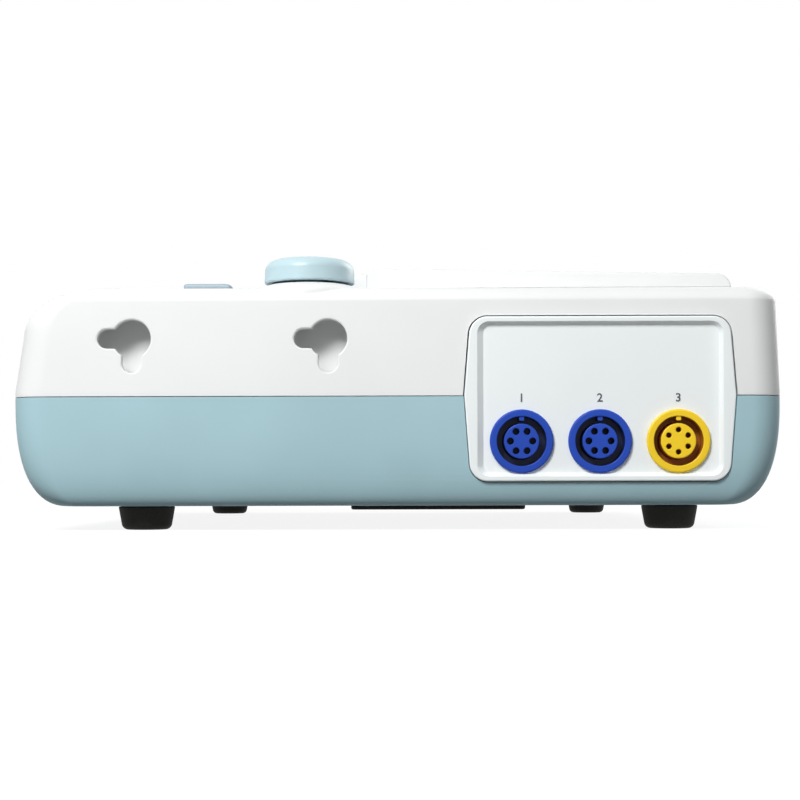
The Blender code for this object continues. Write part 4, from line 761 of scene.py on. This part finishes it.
def lidOutline(s):
    rearZ = s["rearTop"] - s["rearRound"]
    corners = [(s["noseY"] - s["noseIn"], s["noseZ"] - s["noseDrop"]), (s["noseY"] + s["undercut"], s["low"]),
               (s["rearY"] - s["undercut"], s["low"]), (s["rearY"], rearZ)]
    outline = roundProfile(corners, (0, s["lowRound"], s["lowRound"], 0), s["lowSteps"])[1:-1]
    outline += arcPoints((s["rearY"] - s["rearRound"], rearZ), s["rearRound"], 0, 90, s["arcSteps"])
    outline.append((s["crestY"] + s["crestEase"][0], s["crestZ"] - s["crestEase"][1]))
    for step in range(s["crestSteps"]):
        y = s["crestY"] + (s["noseY"] - s["crestY"]) * step / s["crestSteps"]
        reach = (s["crestY"] - y) / (s["crestY"] - s["noseY"])
        outline.append((y, s["crestZ"] - (s["crestZ"] - s["noseZ"] - s["nose"]) * reach ** 2))
    return outline + arcPoints((s["noseY"], s["noseZ"]), s["nose"], 90, s["noseEnd"], s["arcSteps"])


def lidHalves(s, shift):
    # the part of the lid above the seam, as a tool
    front, rear, high = s["splitY"] + shift, s["rearY"] + s["over"], s["crestZ"] + s["over"]
    corners = [(front, s["splitFront"] + shift), (rear, s["splitRear"] + shift), (rear, high), (front, high)]
    return slabForm(corners, -s["half"] - s["over"], s["half"] + s["over"], alongX)


def makeLidBack(s):
    back = toObject("lidBack", roundedAcross(lidOutline(s), s["half"], s["ease"], s["endSteps"]))
    carve(back, [lidHalves(s, 0)])
    shell, over = s["shell"], s["notchOver"]
    tools = [boxForm((-s["half"] + shell * 2, s["notchY"] + shell, s["low"] + shell),
                     (s["half"] - shell * 2, s["rearY"] - s["undercut"] - shell / 2, s["hollowTop"]))]
    hole = circlePoints((s["noseY"], s["noseZ"]), s["pin"], s["pinSides"])
    reach = s["hingeHalf"] + s["pinReach"]
    for x in (-s["hingeX"], s["hingeX"]):
        tools.append(boxForm((x - s["hingeHalf"], s["noseY"] - over, s["low"] - over),
                             (x + s["hingeHalf"], s["notchY"], s["notchTop"])))
        tools.append(slabForm(hole, x - reach, x + reach, alongX))
    carve(back, tools)
    finishPiece(back, "display", "white_casing", "display_back", s["sharp"])


def makeLidBezel(s):
    bezel = toObject("lidBezel", roundedAcross(lidOutline(s), s["half"], s["ease"], s["endSteps"]))
    carve(bezel, [lidHalves(s, s["seam"])], "INTERSECT")
    place = lidFrame(s)
    halfX, halfY = s["screenHalf"], s["screenDepth"] / 2
    margin = s["glassMargin"] + s["gap"]
    opening = roundBox(-halfX, halfX, -halfY, halfY, s["openRound"], s["openSteps"])
    halfX, halfY = halfX + margin, halfY + margin
    seat = roundBox(-halfX, halfX, -halfY, halfY, s["seatRound"], s["seatSteps"])
    carve(bezel, [slabForm(opening, -s["deep"], s["high"], place),
                  slabForm(seat, -s["glass"] - s["gap"], s["high"], place)])
    finishPiece(bezel, "display", "white_casing", "display_bezel", s["sharp"])


def makeLidGlass(s):
    halfX, halfY = s["screenHalf"] + s["glassMargin"], s["screenDepth"] / 2 + s["glassMargin"]
    pane = paneForm(-halfX, halfX, -halfY, halfY, 0, s["glass"], s["glassRound"], s["seatSteps"])
    glass = toObject("lidGlass", moved(pane, lidFrame(s)))
    finishPiece(glass, "display", "screen_glass", "display_glass", s["sharp"])


# Feet: tapered rubber, rounded under, with a shallow hollow
footSet = {
    "x": 0.150, "front": -0.1008, "rear": 0.1088, "top": 0.0092, "topRadius": 0.01125, "lowRadius": 0.0096,
    "round": 0.0026, "topRound": 0.0004, "roundSteps": 9, "hollow": 0.0045, "sunk": 0.0006, "sides": 72,
    "sharp": 50,
}


def makeFeet(s):
    corners = [(0, s["top"]), (s["topRadius"], s["top"]), (s["lowRadius"], 0), (s["hollow"], 0),
               (s["hollow"] - s["sunk"], s["sunk"]), (0, s["sunk"])]
    profile = roundProfile(corners, (0, s["topRound"], s["round"], 0, 0, 0), s["roundSteps"])
    for along in ("front", "rear"):
        for across, side in (("left", -1), ("right", 1)):
            name = "foot" + along.title() + across.title()
            foot = toObject(name, turned(profile, s["sides"], s["x"] * side, s[along]))
            finishPiece(foot, "casing", "black_rubber", "foot_%s_%s" % (along, across), s["sharp"])


# Battery cover: a low plate with rounded edges and two screw sinks
coverSet = {
    "half": 0.064, "front": -0.022, "rear": 0.0575, "low": 0.006, "top": 0.0092, "corner": 0.003,
    "ease": 0.0009, "easeSteps": 5, "cornerSteps": 6, "screwX": 0.058, "toolLow": 0.002, "sharp": 30,
    "sink": (0.0033, 0.0084, 40), "hole": (0.0017, 0.012, 24),
}


def makeBatteryCover(s):
    stages = [(s["low"] + s["ease"] * (1 - math.cos(turn)), s["ease"] * (1 - math.sin(turn)))
              for turn in quarterTurns(s["easeSteps"])]
    rings = []
    for z, inset in stages + [(s["top"], 0)]:
        edge = roundBox(-s["half"] + inset, s["half"] - inset, s["front"] + inset, s["rear"] - inset,
                        s["corner"] - inset, s["cornerSteps"])
        rings.append(atHeight(edge, z))
    cover = toObject("batteryCover", skin(rings))
    middle, low = (s["front"] + s["rear"]) / 2, s["toolLow"]
    tools = []
    for x in (-s["screwX"], s["screwX"]):
        for radius, high, sides in (s["sink"], s["hole"]):
            tools.append(turned([(0, low), (radius, low), (radius, high), (0, high)], sides, x, middle))
    carve(cover, tools)
    finishPiece(cover, "casing", "black_plastic", "battery_cover", s["sharp"])


# Recorder door with a window, on a barrel
doorSet = {
    "left": -0.1456, "right": 0.0156, "front": -0.1156, "axisY": -0.0285, "axisZ": 0.0915, "barrel": 0.0032,
    "barrelSteps": 16, "neck": 0.0008, "thick": 0.003, "pin": 0.001, "pinSides": 24, "pinReach": 0.0026,
    "ease": 0.0006, "lowEase": 0.0004, "easeSteps": 4, "endEase": 0.0003, "endSteps": 3, "over": 0.002,
    "window": (-0.118, -0.012, -0.098, -0.052), "lip": 0.003, "pane": 0.0015, "gap": 0.0003,
    "openRound": 0.002, "seatRound": 0.003, "paneRound": 0.0027, "openSteps": 5, "seatSteps": 6,
    "sharp": 30,
}


def makeDoor(s):
    top = s["axisZ"] + s["barrel"]
    low = top - s["thick"]
    axis = (s["axisY"], s["axisZ"])
    plate = [(s["axisY"], low), (s["front"], low), (s["front"], top), (s["axisY"], top)]
    outline = roundProfile(plate, (0, s["lowEase"], s["ease"], 0), s["easeSteps"])[1:-1]
    outline += arcPoints(axis, s["barrel"], 90, -90, s["barrelSteps"]) + [(s["axisY"] - s["neck"], low)]
    form = roundedAcross(outline[::-1], (s["right"] - s["left"]) / 2, s["endEase"], s["endSteps"])
    middle = Matrix.Translation(((s["right"] + s["left"]) / 2, 0, 0))
    door = toObject("recorderDoor", moved(form, middle))
    left, right, front, rear = s["window"]
    lip, gap = s["lip"], s["gap"]
    opening = roundBox(left + lip, right - lip, front + lip, rear - lip, s["openRound"], s["openSteps"])
    seat = roundBox(left - gap, right + gap, front - gap, rear + gap, s["seatRound"], s["seatSteps"])
    carve(door, [slabForm(opening, low - s["over"], top + s["over"]),
                 slabForm(seat, top - s["pane"] - gap, top + s["over"])])
    pins = circlePoints(axis, s["pin"], s["pinSides"])
    carve(door, [slabForm(pins, s["left"] - s["pinReach"], s["right"] + s["pinReach"], alongX)], "UNION")
    finishPiece(door, "door", "white_casing", "recorder_door", s["sharp"])
    pane = paneForm(left, right, front, rear, top, s["pane"], s["paneRound"], s["seatSteps"])
    finishPiece(toObject("doorWindow", pane), "door", "window_glass", "door_window", s["sharp"])


# Upper casing: crowned shell with its collar, well and openings
upperSet = {
    "tub": ((-0.129, -0.0231, 0.0867), (0.129, 0.143, 0.09375)),
    "well": ((-0.1265, -0.0206, 0.0892), (0.1265, 0.1405, 0.101)),
    "recorder": ((-0.146, -0.1178, 0.0845), (0.016, -0.0249, 0.099)),
    "doorBosses": (((-0.1492, -0.0317, 0.0883), (-0.146, -0.02365, 0.09375)),
                   ((0.016, -0.0317, 0.0883), (0.0192, -0.02365, 0.09375))),
    "hingeHole": 0.0013, "hingeEnds": (-0.1489, 0.0189), "hingeAt": (-0.0285, 0.0915),
    "hingeSides": 24, "keyGap": 0.0004, "keyLow": 0.0885, "keyTop": 0.099, "keySteps": 5,
    "bore": 0.0052, "boreLow": 0.0845, "boreSides": 48, "leastStep": 0.000015, "sharp": 22,
}
collarSet = {
    "radius": 0.0172, "top": 0.0973, "flare": 0.0063, "deck": 0.095, "foot": 0.0916, "under": 0.09125,
    "shares": ((0.127, 0.298), (0.24, 0.269), (0.35, 0.238), (0.49, 0.197), (0.62, 0.15), (0.73, 0.098),
               (0.825, 0.032), (0.89, -0.03), (0.937, -0.095), (0.965, -0.16), (0.984, -0.238),
               (0.996, -0.36)),
    "ease": 0.0005, "easeSteps": 4, "footIn": 0.3, "sides": 128,
}


def makeCollarForm(s, at):
    flare = [(s["radius"] + s["flare"] * out, s["deck"] + s["flare"] * up) for out, up in s["shares"]]
    foot = s["radius"] + s["flare"]
    corners = [(0, s["top"]), (s["radius"], s["top"]), flare[0]]
    profile = roundProfile(corners, (0, s["ease"], 0), s["easeSteps"])[:-1] + flare
    profile += [(foot, s["foot"]), (foot - s["flare"] * s["footIn"], s["under"]), (0, s["under"])]
    return turned(profile, s["sides"], at["x"], at["y"])


# Keyholes: a round hole, a slot toward the front and a slot down
keyholeSet = {
    "radius": 0.0074, "half": 0.00375, "reach": 0.00945, "ys": (-0.1028, -0.0268), "z": 0.0744,
    "margin": 0.0018, "depth": 0.009, "wall": 0.0018, "inner": 0.171326, "surface": 0.173826, "lean": 3.0,
    "chamfer": 0.00055, "chamferShares": (0.3, 0.25), "pocketRound": 0.002, "buried": 0.00125,
    "mouthDeep": 0.006, "mouthOver": 0.004, "holeSteps": 28, "slotSteps": 16, "betweenSteps": 4,
    "pocketSteps": 6,
}


def keyholeOutline(s):
    spread = math.degrees(math.asin(s["half"] / s["radius"]))
    hole = arcPoints((0, 0), s["radius"], -90 + spread, 180 - spread, s["holeSteps"])
    frontSlot = arcPoints((-s["reach"], 0), s["half"], 90, 270, s["slotSteps"])
    between = arcPoints((0, 0), s["radius"], 180 + spread, 270 - spread, s["betweenSteps"])
    downSlot = arcPoints((0, -s["reach"]), s["half"], 180, 360, s["slotSteps"])
    return hole + frontSlot + between + downSlot


def keyholePocket(s, side, y, grow):
    low = s["reach"] + s["half"] + s["margin"] + grow
    high = s["radius"] + s["margin"] + grow
    deep = s["inner"] - s["depth"] - grow
    near = s["inner"] + (s["buried"] if grow else 0)
    corner = s["pocketRound"] + grow
    box = roundBox(y - low, y + high, s["z"] - low, s["z"] + high, corner, s["pocketSteps"])
    return slabForm(box, *sorted((near * side, deep * side)), alongX)


def keyholeMouth(s, side, y):
    # the tool leans with the wall and widens at the surface
    shape, chamfer, (outShare, growShare) = keyholeOutline(s), s["chamfer"], s["chamferShares"]
    stages = ((-s["mouthDeep"], 0), (-chamfer, 0), (-chamfer * outShare, chamfer * growShare), (0, chamfer),
              (s["mouthOver"], chamfer))
    form = skin([[(out, a, b) for a, b in growOutline(shape, grow)] for out, grow in stages])
    lean = Matrix.Rotation(math.radians(-s["lean"]), 4, "Y")
    mirror = Matrix.Diagonal((side, 1, 1, 1))
    moved(form, mirror @ Matrix.Translation((s["surface"], y, s["z"])) @ lean)
    bmesh.ops.recalc_face_normals(form, faces=form.faces)
    return form


def upperLevels(s, leastStep):
    levels, rise = [s["seam"] + s["seamGap"], s["seam"] + s["lip"]], s["deck"] - s["shoulderZ"]
    levels += [s["shoulderZ"] + rise * math.sin(turn) for turn in quarterTurns(s["crownSteps"])]
    levels += [s["deck"] - s["fillet"] * (1 - math.sin(turn)) for turn in quarterTurns(s["filletSteps"])]
    kept = []
    for level in sorted(levels):
        if not kept or level - kept[-1] > leastStep:
            kept.append(level)
    kept[-1] = s["deck"]
    return kept


def makeUpperCasing(s, casing, collar, keyhole, knob, keys, release, panel):
    rings = [upperRing(casing, z) for z in upperLevels(casing, s["leastStep"])]
    shell = shellObject("upperCasing", rings, casing)
    joins = [boxForm(*s["tub"]), makeCollarForm(collar, knob)] + [boxForm(*box) for box in s["doorBosses"]]
    joins += [keyholePocket(keyhole, side, y, keyhole["wall"]) for side in (-1, 1) for y in keyhole["ys"]]
    carve(shell, joins, "UNION")
    bore = [(0, s["boreLow"]), (s["bore"], s["boreLow"]), (s["bore"], s["keyTop"]), (0, s["keyTop"])]
    tools = [boxForm(*s["well"]), boxForm(*s["recorder"]), turned(bore, s["boreSides"], knob["x"], knob["y"])]
    caps = [(x, keys["y"], keys["width"], keys["depth"]) for x in keys["xs"]]
    caps.append([release[key] for key in ("x", "y", "width", "depth")])
    grow = s["keyGap"]
    for x, y, width, depth in caps:
        hole = roundBox(x - width / 2 - grow, x + width / 2 + grow, y - depth / 2 - grow,
                        y + depth / 2 + grow, keys["corner"] + grow, s["keySteps"])
        tools.append(slabForm(hole, s["keyLow"], s["keyTop"]))
    hinge = circlePoints(s["hingeAt"], s["hingeHole"], s["hingeSides"])
    tools.append(slabForm(hinge, *s["hingeEnds"], alongX))
    for side in (-1, 1):
        for y in keyhole["ys"]:
            tools += [keyholePocket(keyhole, side, y, 0), keyholeMouth(keyhole, side, y)]
    carve(shell, tools + [panelTool(panel, panel["holeGap"])])
    finishPiece(shell, "casing", "white_casing", "upper_casing", s["sharp"])


# Lower casing: a shell that rounds in to its base, with the bay, the sleeve of the rear plate and a grille
lowerSet = {
    "bay": ((-0.052, -0.020, 0.01075), (0.052, 0.0555, 0.035)),
    "bayHollow": ((-0.050, -0.018, 0.0055), (0.050, 0.0535, 0.033)),
    "coverScrews": (0.058, 0.01775), "bossRadius": 0.0044, "bossFoot": 0.01075, "bossTop": 0.01975,
    "pilot": 0.0017, "pilotTop": 0.0175, "sink": 0.0033, "sinkTop": 0.0123,
    "casingScrews": ((-0.1615, -0.056), (0.1615, -0.056), (-0.135, 0.122), (0.135, 0.122)),
    "grille": (0.100, -0.070, 5, 0.006, 0.013, 0.0011), "sleeveX": (-0.1425, 0.0625),
    "sleeveZ": (0.0165, 0.049), "sleeveBack": 0.13925, "sleeveSteps": 8, "low": 0.0055,
    "plateHole": ((-0.1403, 0.1325, 0.0187), (0.0603, 0.1542, 0.0468)),
    "grilleEnd": 0.95, "grilleOver": 0.0035, "grilleSteps": 5, "sides": 32, "sharp": 22,
}


def lowerLevels(s):
    top = s["seam"] - s["lip"]
    return [s["seam"] - s["seamGap"]] + [top - (top - s["base"]) * math.sin(turn)
                                         for turn in quarterTurns(s["baseSteps"])]


def uprightForm(x, y, radius, low, high):
    return slabForm(circlePoints((x, y), radius, lowerSet["sides"]), low, high)


def makeLowerCasing(s, casing, panel):
    shell = shellObject("lowerCasing", [lowerRing(casing, z) for z in lowerLevels(casing)], casing)
    low, high = s["sleeveZ"]
    heights = [low + (high - low) * step / s["sleeveSteps"] for step in range(s["sleeveSteps"] + 1)]
    reach = casing["halfDepth"] - casing["wall"] / 2
    curve = [(reach - casing["baseEnd"] * baseShare(casing, z, casing["endPower"]), z) for z in heights]
    sleeve = [(s["sleeveBack"], low)] + curve + [(s["sleeveBack"], high)]
    screwX, screwY = s["coverScrews"]
    joins = [boxForm(*s["bay"]), slabForm(sleeve, *s["sleeveX"], alongX)]
    joins += [uprightForm(x, screwY, s["bossRadius"], s["bossFoot"], s["bossTop"]) for x in (-screwX, screwX)]
    carve(shell, joins, "UNION")
    tools = [boxForm(*s["bayHollow"]), boxForm(*s["plateHole"])]
    tools += [uprightForm(x, screwY, s["pilot"], s["low"], s["pilotTop"]) for x in (-screwX, screwX)]
    tools += [uprightForm(x, y, s["sink"], s["low"], s["sinkTop"]) for x, y in s["casingScrews"]]
    x, y, count, pitch, half, halfSlot = s["grille"]
    for number in range(count):
        middle = y + (number - (count - 1) / 2) * pitch
        slot = roundBox(x - half, x + half, middle - halfSlot, middle + halfSlot, halfSlot * s["grilleEnd"],
                        s["grilleSteps"])
        tools.append(slabForm(slot, s["low"], casing["base"] + s["grilleOver"]))
    carve(shell, tools + [panelTool(panel, panel["gap"])])
    finishPiece(shell, "casing", "grey_casing", "lower_casing", s["sharp"])


makeCamera(cameraSet)
makeStudio(studioSet)
makeFinishes()
dressNodes()
print("stage: finishes on the solids")
makePortPanel(panelSet, socketPlaces)
for number, kind, socketY in zip((1, 2, 3), (blueKind, blueKind, yellowKind), socketPlaces["ys"]):
    makeSocketShell(socketSet, number, kind, socketY, socketPlaces["z"])
    makeSocketInsert(socketSet, number, kind, socketY, socketPlaces["z"])
makeNumbers(numberSet, socketSet["field"], socketPlaces)
print("stage: port panel and sockets")
makeKnob(knobSet)
for number, keyX in enumerate(keySet["xs"], 1):
    makeKey("key%d" % number, "key_%d" % number, "key_body_%d" % number, keySet, keyX, keySet["y"],
            keySet["width"], keySet["depth"])
makeKey("releaseKey", "release_key", "release_body", keySet, releaseSet["x"], releaseSet["y"],
        releaseSet["width"], releaseSet["depth"])
print("stage: knob and keys")
makeLidBack(lidSet)
makeLidBezel(lidSet)
makeLidGlass(lidSet)
print("stage: display lid")
makeDoor(doorSet)
makeFeet(footSet)
makeBatteryCover(coverSet)
print("stage: door, feet and battery cover")
makeUpperCasing(upperSet, casingSet, collarSet, keyholeSet, knobSet, keySet, releaseSet, panelSet)
makeLowerCasing(lowerSet, casingSet, panelSet)
print("stage: casing")

bpy.context.scene.view_settings.view_transform = "Standard"
print("stage: done")
